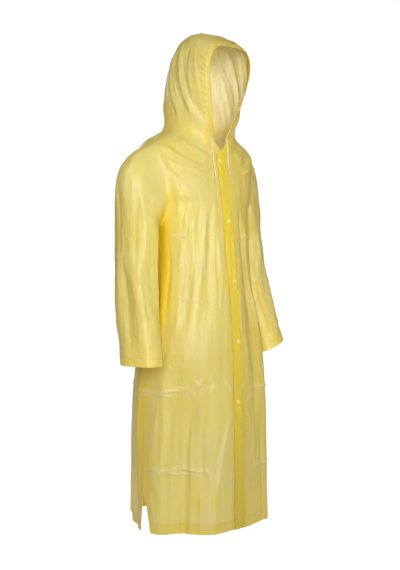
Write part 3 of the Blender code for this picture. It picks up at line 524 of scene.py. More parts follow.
# ---------------------------------------------------------------- numbers
def curve_through(knots, values, places):
    """Values at places on a smooth curve through the knots, flat beyond its ends."""
    places = np.clip(places, knots[0], knots[-1])
    steps = np.diff(knots)
    chords = np.diff(values) / steps
    inner = (chords[:-1] * steps[1:] + chords[1:] * steps[:-1]) / (steps[1:] + steps[:-1])
    slope = np.concatenate([[chords[0]], inner, [chords[-1]]])
    k = np.clip(np.searchsorted(knots, places, side="right") - 1, 0, len(knots) - 2)
    t = (places - knots[k]) / steps[k]
    return (
        (2 * t**3 - 3 * t**2 + 1) * values[k]
        + (t**3 - 2 * t**2 + t) * steps[k] * slope[k]
        + (3 * t**2 - 2 * t**3) * values[k + 1]
        + (t**3 - t**2) * steps[k] * slope[k + 1]
    )


def read_table(columns, rows, places):
    data = np.array(rows)
    return {name: curve_through(data[:, 0], data[:, k], places) for k, name in enumerate(columns)}


def ease(t):
    t = np.clip(t, 0.0, 1.0)
    return t * t * (3 - 2 * t)


def unit(vectors):
    length = np.linalg.norm(vectors, axis=-1, keepdims=True)
    return vectors / np.maximum(length, 1e-12)


def degrees_apart(angle, other):
    return (angle - other + 180.0) % 360.0 - 180.0


def rough(points, size, stretch, seed, octaves=3):
    """Smooth noise between about -1 and 1 at points, with cells of a size that are stretched upwards."""
    scaled = points / np.array([size, size, size * stretch]) + seed * 17.3
    values = [noise.fractal(Vector(point), 1.0, 2.0, octaves) for point in scaled.reshape(-1, 3)]
    return np.array(values).reshape(points.shape[:-1])


def crease_height(rows, across, along, across_size, along_size=1.0, turning=False):
    """How far a table of creases moves each point outwards, and how strong a painted highlight a pressed line
    puts there.
    """
    height, pressed_highlight = np.zeros(np.shape(across)), np.zeros(np.shape(across))
    for number, (across_0, along_0, across_1, along_1, half, depth, bow, sharp) in enumerate(rows):
        shift = degrees_apart(across, across_0) if turning else across - across_0
        x, y = shift * across_size, (along - along_0) * along_size
        dx, dy = (across_1 - across_0) * across_size, (along_1 - along_0) * along_size
        length = math.hypot(dx, dy)
        t = (x * dx + y * dy) / length**2
        wander = CREASE_WANDER * half * np.sin(2.7 * number + 9.0 * t)
        q = ((x * dy - y * dx) / length - 4 * bow * t * (1 - t) - wander) / half
        soft = np.exp(-q * q)
        pressed = np.exp(-1.7 * (np.sqrt(q * q + 0.05) - 0.2236))
        ends = ease(t / CREASE_ENDS) * ease((1 - t) / CREASE_ENDS)
        uneven = 1.0 + CREASE_UNEVEN * np.sin(1.9 * number + 11.0 * t)
        height += depth * (soft + (pressed - soft) * sharp) * ends * uneven
        # a sharp ridge also puts a painted highlight along its crest
        if sharp > PRESSED_FROM and depth > 0:
            pressed_highlight = np.maximum(pressed_highlight, pressed * ends * min(depth / FULL_HIGHLIGHT_DEPTH, 1.0))
    return height, pressed_highlight


# ---------------------------------------------------------------- the body's surface
def body_ring(station):
    return read_table(RING_COLUMNS, BODY_RINGS, station)


def fold_height(angle, z):
    height = np.zeros(np.shape(angle))
    for angle_top, angle_low, half_width, depth, z_top, z_low in BODY_FOLDS:
        down = np.clip((z_top - z) / (z_top - z_low), 0.0, 1.0)
        centre = angle_top + (angle_low - angle_top) * down
        across = np.radians(degrees_apart(angle, centre)) * BODY_RADIUS / half_width
        fade = ease((z_top - z) / FOLD_FADE) * ease((z - z_low) / FOLD_FADE)
        height += depth * np.exp(-across * across) * fade
    return height


def body_point(angle, station):
    """Points of the body tube, angle degrees round from the front centre to the wearer's left."""
    ring = body_ring(station)
    turn = np.radians(angle)
    sine, cosine = np.sin(turn), np.cos(turn)
    before = cosine > 0
    depth = np.where(before, ring["front"], ring["back"])
    z_middle = np.where(before, ring["z_front"], ring["z_back"])
    power = 2.0 / np.where(before, ring["square"], ring["square_back"])
    x = ring["half_width"] * np.sign(sine) * np.abs(sine) ** power
    y = -depth * np.sign(cosine) * np.abs(cosine) ** power
    z = ring["z_side"] + (z_middle - ring["z_side"]) * cosine * cosine
    out = unit(np.stack([x / ring["half_width"] ** 2, y / depth**2, np.zeros_like(x)], axis=-1))
    return np.stack([x, y + ring["middle"], z], axis=-1) + out * fold_height(angle, z)[..., None]


def body_out(angle, station):
    turn, climb = 0.5, 0.01
    round_it = body_point(angle + turn, station) - body_point(angle - turn, station)
    above, below = np.minimum(station + climb, NECK_STATION), np.maximum(station - climb, 0.0)
    return unit(np.cross(round_it, body_point(angle, above) - body_point(angle, below)))


def angle_at(x, station):
    ring = body_ring(station)
    share = np.minimum(np.abs(x) / ring["half_width"], 1.0) ** (ring["square"] / 2.0)
    return np.sign(x) * np.degrees(np.arcsin(share))


@functools.lru_cache(maxsize=None)
def stations():
    """The station of every row of the body, from the hem to the neckline."""
    skirt = np.linspace(0.0, 1.0, SKIRT_ROWS + 1)
    armhole = 1.5 - 0.5 * np.cos(np.pi * np.arange(1, ARMHOLE_ROWS + 1) / ARMHOLE_ROWS)
    shoulder = 2 + np.arange(1, SHOULDER_ROWS + 1) / SHOULDER_ROWS
    return np.concatenate([skirt, armhole, shoulder])


ARMPIT_ROW = SKIRT_ROWS
TIP_ROW = SKIRT_ROWS + ARMHOLE_ROWS


def side_angles(armhole, slit):
    """Where a panel's outer edge is at every row."""
    station = stations()
    z_side = body_ring(station)["z_side"]
    opened = np.maximum(SLIT_TOP - z_side, 0.0)
    angle = 90.0 - slit * opened / (SLIT_TOP - HEM_LINE)
    climb = np.clip(np.arange(len(station)) - ARMPIT_ROW, 0, ARMHOLE_ROWS) / ARMHOLE_ROWS
    return angle - armhole * np.sin(np.pi * climb)


def front_edge(station):
    opening = ease((body_ring(station)["z_front"] + V_DEPTH) / V_DEPTH)
    return LAP_WIDTH / 2 - (LAP_WIDTH / 2 + V_HALF) * opening


def front_angles(side):
    """Angles of a front's columns at every row, from its free edge."""
    station = stations()
    lap_middle = body_ring(station)["lap"]
    edge = front_edge(station)
    columns = []
    for k in range(LAP_COLUMNS + 1):
        columns.append(angle_at(lap_middle + side * (LAP_WIDTH * k / LAP_COLUMNS - edge), station))
    rest = FRONT_COLUMNS - LAP_COLUMNS
    last = side * side_angles(ARMHOLE_FRONT[side], SLIT_FRONT)
    start = columns[-1]
    columns += [start + (last - start) * k / rest for k in range(1, rest + 1)]
    return np.stack(columns, axis=1)


def back_angles():
    start = 180.0 - side_angles(ARMHOLE_BACK, SLIT_BACK)
    shares = np.arange(BACK_COLUMNS + 1) / BACK_COLUMNS
    return start[:, None] + (360.0 - 2 * start)[:, None] * shares


def lap_height(x, station):
    full = WALL + LAYER_GAP + FACING_WALL + LAP_GAP
    ring = body_ring(station)
    beside = ease((ring["lap"] + LAP_WIDTH / 2 + LAP_EASE - x) / LAP_EASE)
    below_neck = 1 - ease((ring["z_front"] + LAP_FADE) / LAP_FADE)
    return full * beside * below_neck


def snap_places():
    """Foot, way out, angle and z of each snap, on the form without creases."""
    places = []
    for z, across in SNAPS:
        fine = np.linspace(0.0, NECK_STATION, 30001)
        station = fine[np.searchsorted(body_ring(fine)["z_front"], z)]
        x = float(body_ring(station)["lap"]) + across
        angle = float(angle_at(x, station))
        out = body_out(np.array(angle), np.array(station))
        lift = float(lap_height(x, station)) + LAYER_GAP
        foot = body_point(np.array(angle), np.array(station)) + out * lift
        places.append((foot, out, angle, z))
    return places


def body_creases(angle, points):
    """How far the creases, the drape's unevenness and the snaps' pulls move the body's points."""
    z = points[..., 2]
    across_size = math.radians(1.0) * BODY_RADIUS
    height, pressed_highlight = crease_height(BODY_CREASES, angle, z, across_size, turning=True)
    turn = np.radians(angle)
    tube = np.stack([np.sin(turn) * BODY_RADIUS, -np.cos(turn) * BODY_RADIUS, z], axis=-1)
    height += 0.0011 * rough(tube, 0.050, 3.6, 1.0) + 0.0006 * rough(tube, 0.018, 2.4, 2.0)
    for _, _, snap_angle, snap_z in snap_places():
        x, y = degrees_apart(angle, snap_angle) * across_size, z - snap_z
        near = np.exp(-(x * x + y * y) / SNAP_FLAT**2)
        pulls = []
        for way, length, half, depth in SNAP_PULLS:
            far_angle = snap_angle + length * math.cos(math.radians(way)) / across_size
            far_z = snap_z + length * math.sin(math.radians(way))
            pulls.append((snap_angle, snap_z, far_angle, far_z, half, depth, PULL_BOW, PULL_SHARP))
        height += crease_height(pulls, angle, z, across_size, turning=True)[0]
        height *= 1.0 - near
    return height * settings().film.creasing, pressed_highlight


# ---------------------------------------------------------------- sheets
class Sheet:
    """A grid of points, the way out at each, and what its film is like there.

    band is how deep a point lies inside a welded band. tone is how deep a yellow a point is painted:
    its layers set it, where 1 is the welded lap, and painted shade sets it too, going past 1 to a
    darker painted shade, deepest at 1.5, in the crevices between the arms and the body. The pressed
    lines' mask is how strong a painted highlight lies along them.
    """

    def __init__(self, points, out, band=None, tone=None, press_and_highlight=None):
        self.points, self.out = points, out
        self.band = np.full(points.shape[:2], -1.0) if band is None else band
        self.tone = np.zeros(points.shape[:2]) if tone is None else tone
        self.press_and_highlight = np.zeros(points.shape[:2]) if press_and_highlight is None else press_and_highlight

    def part(self, rows, columns):
        return Sheet(*(a[rows, columns] for a in (self.points, self.out, self.band, self.tone, self.press_and_highlight)))

    def inwards(self, depth):
        return Sheet(self.points - self.out * depth, self.out, self.band, self.tone, self.press_and_highlight)

    def add_band(self, depth, tone):
        """A welded band of two layers, where depth is how far each point lies inside it."""
        self.band = np.maximum(self.band, depth)
        self.deepen(depth, tone, BAND_SOFT)

    def deepen(self, depth, tone, soft):
        """A deeper yellow, which fades out over the length soft."""
        self.tone = np.maximum(self.tone, tone * ease(depth / soft + 0.5))


def from_edge(points, axis, last):
    """The distance of every point from the first or the last row or column."""
    steps = np.linalg.norm(np.diff(points, axis=axis), axis=-1)
    if last:
        steps = np.flip(steps, axis)
    zero = np.zeros_like(np.take(steps, [0], axis))
    total = np.concatenate([zero, np.cumsum(steps, axis)], axis)
    return np.flip(total, axis) if last else total


def body_sheet(angle):
    station = np.broadcast_to(stations()[:, None], angle.shape)
    points = body_point(angle, station)
    out = body_out(angle, station)
    flat_out = unit(out * np.array([1.0, 1.0, 0.0]))
    near_neck = np.exp(-((from_edge(points, 0, True) / FLARE_REACH) ** 2))
    flare = NECK_FLARE * near_neck * ease((np.abs(angle) - THROAT_ANGLE) / THROAT_FADE)
    height, pressed_highlight = body_creases(angle, points)
    moved = points + out * (height + flare)[..., None] + flat_out * flare[..., None]
    sheet = Sheet(moved, out, press_and_highlight=pressed_highlight)
    z = points[..., 2]
    # painted shade in the crevice between each arm and the body's side, deeper on the right, whose arm hangs
    # closer, and beside the armholes below their top
    from_side = degrees_apart(np.abs(angle - 360.0 * (angle > 180.0)), 86.0)
    under_arm_shade = 1.15 * np.exp(-((from_side / 13.0) ** 2)) + 0.45 * np.exp(-((from_side / 30.0) ** 2))
    under_arm_shade = under_arm_shade * np.where(np.sin(np.radians(angle)) > 0, 0.5, 1.0)  # the right arm hangs closer
    sheet.tone = np.maximum(sheet.tone, under_arm_shade * ease((-0.10 - z) / 0.10) * ease((z + 0.70) / 0.26))
    sheet.deepen(0.020 - from_edge(points, 0, True), 0.35, 0.045)
    for last in (False, True) if angle.max() > 180.0 else (True,):
        beside = ease((0.030 - from_edge(points, 1, last)) / 0.036)
        shade = 1.10 * beside * ease((ARMHOLE_TOP - z) / ARMHOLE_TOP_FADE)
        sheet.tone = np.maximum(sheet.tone, shade * ease((z + 0.36) / 0.08))
    return sheet, points, station


def below_armpit(width):
    """The width of a side band at every row, which ends at the armpit."""
    rows = np.arange(len(stations()))[:, None]
    return np.where(rows <= ARMPIT_ROW - 6, width, -0.02)


def front_sheet(side):
    sheet, plain, station = body_sheet(front_angles(side))
    if side > 0:
        sheet.points = sheet.points + sheet.out * lap_height(plain[..., 0], station)[..., None]
    film = settings().film
    sheet.add_band(film.hem - from_edge(sheet.points, 0, False), BAND_TONE)
    sheet.add_band(below_armpit(film.side_hem) - from_edge(sheet.points, 1, True), BAND_TONE)
    if side > 0:
        # painted shade: the whole left front, turned away from the key light, is painted a deeper yellow
        sheet.tone = np.maximum(sheet.tone, 0.34)
        sheet.deepen(LAP_WIDTH - 0.004 - from_edge(sheet.points, 1, False), 0.95, 0.012)
    else:
        sheet.deepen(film.facing - from_edge(sheet.points, 1, False), 0.45, 0.022)
    return sheet


def back_sheet():
    sheet, _, _ = body_sheet(back_angles())
    film = settings().film
    sheet.add_band(film.hem - from_edge(sheet.points, 0, False), BAND_TONE)
    # a deeper yellow down both sides of the back: the side seams' layers, with painted shade where the back
    # turns away from the light
    for last in (False, True):
        sheet.deepen(below_armpit(0.070) - from_edge(sheet.points, 1, last), 0.80, 0.070)
    return sheet


def sleeve_swell(turn, share):
    height = np.zeros(np.shape(turn))
    for turn_top, turn_low, half_turn, depth, share_top, share_low in SLEEVE_FOLDS:
        along = np.clip((share - share_top) / (share_low - share_top), 0.0, 1.0)
        centre = turn_top + (turn_low - turn_top) * along
        across = degrees_apart(turn, centre) / half_turn
        fade = ease((share - share_top) / SLEEVE_FADE) * ease((share_low - share) / SLEEVE_FADE)
        height += depth * np.exp(-across * across) * fade
    return height


def arm_ring(arm, share, turn, side):
    row = {name: float(value) for name, value in read_table(ARM_COLUMNS, arm, share).items()}
    outward, forward = np.cos(np.radians(turn)), np.sin(np.radians(turn))
    swell = sleeve_swell(turn, share)
    x = side * (row["across"] + (row["half_across"] + swell) * outward)
    y = row["fore"] - (row["half_fore"] + swell) * forward
    z = row["z"] + row["lift_out"] * outward + row["lift_front"] * forward
    return np.stack([x, y, z], axis=-1)


def cap_ring(t, armhole, upper, below, cap, side):
    under = np.sin(np.pi * np.arange(len(armhole)) / len(armhole)) ** 2
    seam_way = unit(np.stack([side * (1.0 - 0.75 * under), 0 * under, -cap["slope"] - 0.60 * under], axis=-1))
    leave = unit(seam_way + CAP_SHORTCUT * unit(upper - armhole))
    arrive = unit(below - upper)
    reach = np.linalg.norm(upper - armhole, axis=-1, keepdims=True) * cap["fullness"]
    return (
        (2 * t**3 - 3 * t**2 + 1) * armhole
        + (t**3 - 2 * t**2 + t) * reach * leave
        + (3 * t**2 - 2 * t**3) * upper
        + (t**3 - t**2) * reach * arrive
    )


def sleeve_sheet(front, back, arm, cap, side):
    """A sleeve whose first ring is the armhole of this front and back."""
    back_edge = 0 if side > 0 else BACK_COLUMNS
    down = front.points[TIP_ROW : ARMPIT_ROW - 1 : -1, FRONT_COLUMNS]
    up = back.points[ARMPIT_ROW + 1 : TIP_ROW, back_edge]
    armhole = np.concatenate([down, up])
    turn = 360.0 * np.arange(len(armhole)) / len(armhole)
    upper, below = arm_ring(arm, 0.0, turn, side), arm_ring(arm, 0.05, turn, side)
    rings = [cap_ring(k / CAP_ROWS, armhole, upper, below, cap, side) for k in range(CAP_ROWS)]
    rings += [arm_ring(arm, share, turn, side) for share in np.linspace(0.0, 1.0, ARM_ROWS + 1)]
    points = np.array(rings)
    round_it = np.roll(points, -1, axis=1) - np.roll(points, 1, axis=1)
    out = unit(np.cross(round_it, np.gradient(points, axis=0))) * side

    along = np.concatenate(
        [CAP_LENGTH * (np.arange(CAP_ROWS) / CAP_ROWS - 1), np.linspace(0.0, ARM_LENGTH, ARM_ROWS + 1)]
    )
    turns, alongs = np.meshgrid(turn, along)
    shift, stretch = SLEEVE_SHIFT[side]
    across_size = math.radians(1.0) * SLEEVE_RADIUS
    height, pressed_highlight = crease_height(
        SLEEVE_CREASES, turns + shift, alongs * stretch, across_size, turning=True
    )
    round_x, round_y = np.cos(np.radians(turns)), np.sin(np.radians(turns))
    tube = np.stack([round_x * SLEEVE_RADIUS, round_y * SLEEVE_RADIUS, alongs], axis=-1)
    height += 0.0014 * rough(tube, 0.040, 3.0, 3.0 + side) + 0.0007 * rough(tube, 0.016, 2.0, 5.0 + side)
    height *= settings().film.creasing * ease(from_edge(points, 0, False) / 0.014)
    sheet = Sheet(points + out * height[..., None], out, press_and_highlight=pressed_highlight)
    film = settings().film
    sheet.add_band(film.cuff - from_edge(sheet.points, 0, True), BAND_TONE)
    sheet.deepen(0.10 - from_edge(sheet.points, 0, True), 0.25, 0.20)
    # painted shade on the side of each sleeve that faces the body, deeper on the right, and along the lower
    # armhole seam
    by_body_shade = np.exp(-((degrees_apart(turns, 140.0) / 34.0) ** 2)) * ease((alongs + CAP_LENGTH) / 0.1)
    sheet.tone = np.maximum(sheet.tone, (1.15 if side < 0 else 0.65) * by_body_shade)
    below_top = ease((ARMHOLE_TOP - points[..., 2]) / ARMHOLE_TOP_FADE)
    beside = ease((0.024 - from_edge(points, 0, False)) / 0.030) * below_top
    sheet.tone = np.maximum(sheet.tone, 0.9 * beside)
    return sheet


def back_half(side):
    half = BACK_COLUMNS // 2
    return list(range(1, half + 1)) if side > 0 else list(range(BACK_COLUMNS - 1, half - 1, -1))


def neckline_of(front, back, side):
    return np.concatenate([front.points[-1], back.points[-1, back_half(side)]])


def hood_sheet(front, back, shares, side):
    """The half hood over the neckline of a front and half the back."""
    start = neckline_of(front, back, side)
    rib = read_table(RIB_COLUMNS, HOOD_RIBS, shares)
    lean = HOOD_LEAN * (1.0 - shares)
    handle = start + np.stack([side * rib["rise_x"] + lean, rib["rise_y"], rib["rise_z"]], axis=-1)
    end = np.stack([0 * shares, rib["seam_y"], rib["seam_z"]], axis=-1)
    reach = end + np.stack([side * rib["reach_x"], rib["reach_y"], rib["reach_z"]], axis=-1)
    t = (np.arange(HOOD_ROWS + 1) / HOOD_ROWS)[:, None, None]
    points = (1 - t) ** 3 * start + 3 * (1 - t) ** 2 * t * handle + 3 * (1 - t) * t * t * reach + t**3 * end
    out = np.cross(np.gradient(points, axis=1), np.gradient(points, axis=0)) * side
    out[-1, :, 0] = 0.0
    out[:, -1, 0] = 0.0
    out = unit(out)

    share, rise = np.meshgrid(shares, t[:, 0, 0])
    shift, stretch = HOOD_SHIFT[side]
    height, pressed_highlight = crease_height(
        HOOD_CREASES, share + shift, rise * stretch, HOOD_WIDTH, HOOD_HEIGHT
    )
    height += 0.0018 * rough(points, 0.050, 1.6, 7.0 + side) + 0.0007 * rough(points, 0.018, 1.2, 9.0 + side)
    calm = ease(from_edge(points, 0, False) / 0.012) * ease(from_edge(points, 1, True) / 0.015)
    seam_near = 1.0 - ease(from_edge(points, 0, True) / 0.022)
    gathers = PUCKERS * np.sin(16.0 * share + 3.0 * np.sin(9.0 * share))
    puckers = gathers * ease((share - 0.08) / 0.1) * ease((0.9 - share) / 0.2)
    height = (height * (1.0 - seam_near) * settings().film.creasing + puckers * seam_near) * calm
    sheet = Sheet(points + out * height[..., None], out, press_and_highlight=pressed_highlight)
    # a deeper yellow along the seam over the head: its layers, with painted shade on the hood's top, where
    # the light falls weakly
    sheet.deepen(0.034 - from_edge(sheet.points, 0, True), 0.64, 0.070)
    sheet.deepen(0.042 - from_edge(sheet.points, 1, False), 0.24, 0.026)
    sheet.deepen(0.020 - from_edge(sheet.points, 0, False), 0.30, 0.045)
    return sheet


def casing_sheet(left, right):
    """The hood's face edge: film folded over the cord, from the weld round the edge and back to it."""
    columns = slice(0, CASING_COLUMNS + 1)
    points = np.concatenate([right.points[:, columns], left.points[-2::-1, columns]])
    out = np.concatenate([right.out[:, columns], left.out[-2::-1, columns]])
    share = np.arange(CASING_COLUMNS + 1) / CASING_COLUMNS  # 0 at the face edge, 1 at the weld
    length = from_edge(points, 0, False)[:, :1]
    wave = np.sin(length * 2 * math.pi / GATHER_SPACING + 2.0 * np.sin(length * 31.0))
    gather = GATHER * wave * np.sin(math.pi * share)
    cord = 0.0012 * np.exp(-(((share - 0.45) / 0.16) ** 2))
    outer = points + out * (gather + cord)[..., None]
    depth = 0.0004 + 0.0022 * np.minimum(np.sqrt(1.0 - share**4), 1.0)
    inner = points - out * depth[:, None] - out * (0.6 * gather)[..., None]
    beyond = unit(points[:, :1] - points[:, 1:2])
    apex = points[:, :1] - out[:, :1] * 0.0013 + beyond * 0.0011
    strip = np.concatenate([outer[:, ::-1], apex, inner], axis=1)
    ways = np.concatenate([out[:, ::-1], beyond, -out], axis=1)
    deeper = CASING_TONE + CASING_TONE * (1.0 - share)
    tone = np.concatenate([deeper[::-1], [2 * CASING_TONE], deeper])
    return Sheet(strip, ways, np.full(strip.shape[:2], 0.02), np.broadcast_to(tone, strip.shape[:2]))


def soften_seams(sheets, reach=0.034, rounds=80):
    """Rounds the film over where the sleeves and the hood join the body, which stay joined."""
    sizes = [sheet.points.shape[0] * sheet.points.shape[1] for sheet in sheets]
    flat = np.concatenate([sheet.points.reshape(-1, 3) for sheet in sheets])
    _, first, number = np.unique(np.round(flat, 5), axis=0, return_index=True, return_inverse=True)
    number = number.reshape(-1)
    place = flat[first]
    edges, start = [], 0
    for sheet, size in zip(sheets, sizes):
        grid = number[start : start + size].reshape(sheet.points.shape[:2])
        edges.append(np.stack([grid[1:].ravel(), grid[:-1].ravel()]))
        edges.append(np.stack([grid[:, 1:].ravel(), grid[:, :-1].ravel()]))
        if np.allclose(np.linalg.norm(sheet.points[:, 0] - sheet.points[:, -1], axis=-1), 0.0, atol=0.02):
            edges.append(np.stack([grid[:, 0], grid[:, -1]]))
        start += size
    one, two = np.unique(np.sort(np.concatenate(edges, axis=1), axis=0), axis=1)
    count = np.bincount(np.concatenate([one, two]), minlength=len(place))

    joins = [sheet.points[0] for sheet in sheets[3:]]  # the first row of each sleeve and each half hood
    seam = np.concatenate(joins)
    tree = kdtree.KDTree(len(seam))
    for index, point in enumerate(seam):
        tree.insert(point, index)
    tree.balance()
    gap = np.array([tree.find(point)[2] for point in place])
    away_from_throat = ease((np.hypot(place[:, 0], place[:, 1] + 0.11) - 0.045) / 0.03)
    share = 0.6 * ease(1.0 - gap / reach) * away_from_throat
    for _ in range(rounds):
        total = np.stack(
            [
                np.bincount(one, place[two, axis], len(place))
                + np.bincount(two, place[one, axis], len(place))
                for axis in range(3)
            ],
            axis=1,
        )
        place = place + share[:, None] * (total / count[:, None] - place)
    moved = place[number]
    start = 0
    for sheet, size in zip(sheets, sizes):
        sheet.points = moved[start : start + size].reshape(sheet.points.shape)
        start += size


@functools.lru_cache(maxsize=None)
def coat_sheets():
    """Every cloth sheet of the coat, made once."""
    fronts = {side: front_sheet(side) for side in (1, -1)}
    back = back_sheet()
    lengths = []
    for side in (1, -1):
        steps = np.linalg.norm(np.diff(neckline_of(fronts[side], back, side), axis=0), axis=1)
        lengths.append(np.concatenate([[0.0], np.cumsum(steps)]) / np.sum(steps))
    shares = np.mean(lengths, axis=0)
    hoods = {side: hood_sheet(fronts[side], back, shares, side) for side in (1, -1)}
    sleeves = {
        1: sleeve_sheet(fronts[1], back, LEFT_ARM, LEFT_CAP, 1),
        -1: sleeve_sheet(fronts[-1], back, RIGHT_ARM, RIGHT_CAP, -1),
    }
    soften_seams([fronts[1], fronts[-1], back, sleeves[1], sleeves[-1], hoods[1], hoods[-1]])
    return {"fronts": fronts, "back": back, "hoods": hoods, "sleeves": sleeves}


# ---------------------------------------------------------------- materials
def hex_colour(text):
    """An sRGB hex colour as linear RGBA."""
    parts = [int(text[k : k + 2], 16) / 255 for k in (0, 2, 4)]
    return (*(c / 12.92 if c <= 0.04045 else ((c + 0.055) / 1.055) ** 2.4 for c in parts), 1.0)


def add_node(tree, kind, values=(), links=(), **options):
    """A node with its options, its input values by name or number, and links into it."""
    node = tree.nodes.new(kind)
    for name, value in options.items():
        setattr(node, name, value)
    for name, value in dict(values).items():
        node.inputs[name].default_value = value
    for name, source in dict(links).items():
        tree.links.new(source, node.inputs[name])
    return node


def new_material(name):
    material = bpy.data.materials.new(name)
    material.use_nodes = True
    material.node_tree.nodes.clear()
    return material, material.node_tree


def film_material(name, single):
    """Frosted EVA film, calendered: a fine matt grain that scatters light through it.

    Double layers are a deeper yellow and throw more light back, and painted shade uses the same deeper
    yellow, darker still in the crevices between the arms and the body. The film is milky in patches,
    streaked where it hangs in folds, and carries a painted highlight along the lines where it was
    folded for packing. The grain is really about 0.3 mm and is drawn at 2.5 mm, so that it shows.
    """
    if name in bpy.data.materials:
        return bpy.data.materials[name]
    material, tree = new_material(name)
    band, tone, press_and_highlight = (
        add_node(tree, "ShaderNodeAttribute", attribute_name=key).outputs["Fac"]
        for key in ("band", "tone", "press_and_highlight")
    )
    coordinates = add_node(tree, "ShaderNodeTexCoord")
    place, flat = coordinates.outputs["Object"], coordinates.outputs["UV"]
    away = add_node(tree, "ShaderNodeMath", {}, {0: band}, operation="ABSOLUTE").outputs[0]
    weld = add_node(
        tree, "ShaderNodeMapRange", {"From Min": 0.0018, "From Max": 0.0}, {"Value": away}
    ).outputs["Result"]
    haze = add_node(
        tree, "ShaderNodeTexNoise", {"Scale": 9.0, "Detail": 4.0, "Roughness": 0.6}, {"Vector": place}
    ).outputs["Fac"]
    milky = add_node(
        tree, "ShaderNodeMapRange",
        {"From Min": 0.42, "From Max": 0.68, "To Min": 0.0, "To Max": 0.50}, {"Value": haze}
    ).outputs["Result"]
    hanging = add_node(tree, "ShaderNodeMapping", {"Scale": (55.0, 55.0, 7.0)}, {"Vector": place}).outputs[0]
    streaks = add_node(
        tree, "ShaderNodeTexNoise", {"Scale": 1.0, "Detail": 3.0, "Roughness": 0.55}, {"Vector": hanging}
    ).outputs["Fac"]
    deeper = add_node(
        tree, "ShaderNodeMapRange",
        {"From Min": 0.42, "From Max": 0.72, "To Min": 0.0, "To Max": 0.45}, {"Value": streaks}
    ).outputs["Result"]

    # painted shade: a tone above 1 turns to a darker yellow in the crevices between the arms and the body
    crevice_shade = add_node(
        tree, "ShaderNodeMapRange", {"From Min": 1.0, "From Max": 1.5}, {"Value": tone}
    ).outputs["Result"]

    colour = None
    # the colour of double layers is also used for painted shade, D2B610 is a darker painted shade in the
    # crevices, and FAF3CC is a painted highlight along the pressed lines
    for factor, share, tint in (
        (deeper, 1.0, "EFDF60"), (milky, 1.0, "F1E9BC"),
        (tone, 1.0, settings().film.doubled_and_shade), (crevice_shade, 0.9, "D2B610"),
        (weld, 0.25, "E2C950"), (press_and_highlight, 0.65, "FAF3CC"),
    ):
        amount = add_node(tree, "ShaderNodeMath", {1: share}, {0: factor}, operation="MULTIPLY").outputs[0]
        blend = add_node(tree, "ShaderNodeMix", {}, {"Factor": amount}, data_type="RGBA")
        if colour is None:
            blend.inputs[6].default_value = hex_colour(single)
        else:
            tree.links.new(colour, blend.inputs[6])
        blend.inputs[7].default_value = hex_colour(tint)
        colour = blend.outputs[2]

    crinkle = add_node(
        tree, "ShaderNodeTexNoise",
        {"Scale": 60.0, "Detail": 4.0, "Roughness": 0.6, "Distortion": 0.8}, {"Vector": flat}
    ).outputs["Fac"]
    facets = add_node(
        tree, "ShaderNodeTexVoronoi", {"Scale": 30.0, "Randomness": 1.0}, {"Vector": flat},
        feature="DISTANCE_TO_EDGE",
    ).outputs["Distance"]
    lines = add_node(
        tree, "ShaderNodeMapRange", {"From Min": 0.0, "From Max": 0.12}, {"Value": facets},
        interpolation_type="SMOOTHSTEP",
    ).outputs["Result"]
    grain = add_node(
        tree, "ShaderNodeTexNoise", {"Scale": 400.0, "Detail": 2.0, "Roughness": 0.5}, {"Vector": place}
    ).outputs["Fac"]
    bump = None
    for source, strength, distance in (
        (grain, 0.20, 0.0004), (lines, 0.22, 0.0007), (crinkle, 0.42, 0.0024), (streaks, 0.36, 0.0042),
        (weld, 0.5, -0.0008), (press_and_highlight, 0.6, 0.0012),
    ):
        node = add_node(
            tree, "ShaderNodeBump", {"Strength": strength, "Distance": abs(distance)}, {"Height": source},
            invert=distance < 0,
        )
        if bump is not None:
            tree.links.new(bump, node.inputs["Normal"])
        bump = node.outputs[0]

    gloss = add_node(
        tree, "ShaderNodeMapRange",
        {"From Min": 0.3, "From Max": 0.7, "To Min": 0.32, "To Max": 0.44}, {"Value": haze}
    ).outputs["Result"]
    surface = add_node(
        tree, "ShaderNodeBsdfPrincipled", {"IOR": 1.48, "Metallic": 0.0},
        {"Base Color": colour, "Roughness": gloss, "Normal": bump},
    ).outputs[0]
    through = add_node(tree, "ShaderNodeBsdfTranslucent", {}, {"Color": colour, "Normal": bump}).outputs[0]
    passing = add_node(
        tree, "ShaderNodeMapRange",
        {"From Min": 0.0, "From Max": 1.0, "To Min": 0.54, "To Max": 0.24}, {"Value": tone}
    ).outputs["Result"]
    mixed = add_node(tree, "ShaderNodeMixShader", {}, {0: passing, 1: surface, 2: through}).outputs[0]
    add_node(tree, "ShaderNodeOutputMaterial", {}, {"Surface": mixed})
    return material


def snap_material():
    """Moulded polyethylene: smooth and slightly waxy, paler than the film."""
    material, tree = new_material("moulded_snap_cap")
    place = add_node(tree, "ShaderNodeTexCoord").outputs["Object"]
    cloud = add_node(
        tree, "ShaderNodeTexNoise", {"Scale": 300.0, "Detail": 2.0}, {"Vector": place}
    ).outputs["Fac"]
    tint = add_node(tree, "ShaderNodeMix", {}, {"Factor": cloud}, data_type="RGBA")
    tint.inputs[6].default_value = hex_colour(settings().snaps.colour)
    tint.inputs[7].default_value = hex_colour("EBD98A")
    bump = add_node(
        tree, "ShaderNodeBump", {"Strength": 0.15, "Distance": 0.0002}, {"Height": cloud}
    ).outputs[0]
    surface = add_node(
        tree, "ShaderNodeBsdfPrincipled",
        {"IOR": 1.5, "Roughness": 0.32, "Subsurface Weight": 0.2, "Subsurface Scale": 0.002},
        {"Base Color": tint.outputs[2], "Normal": bump},
    ).outputs[0]
    add_node(tree, "ShaderNodeOutputMaterial", {}, {"Surface": surface})
    return material


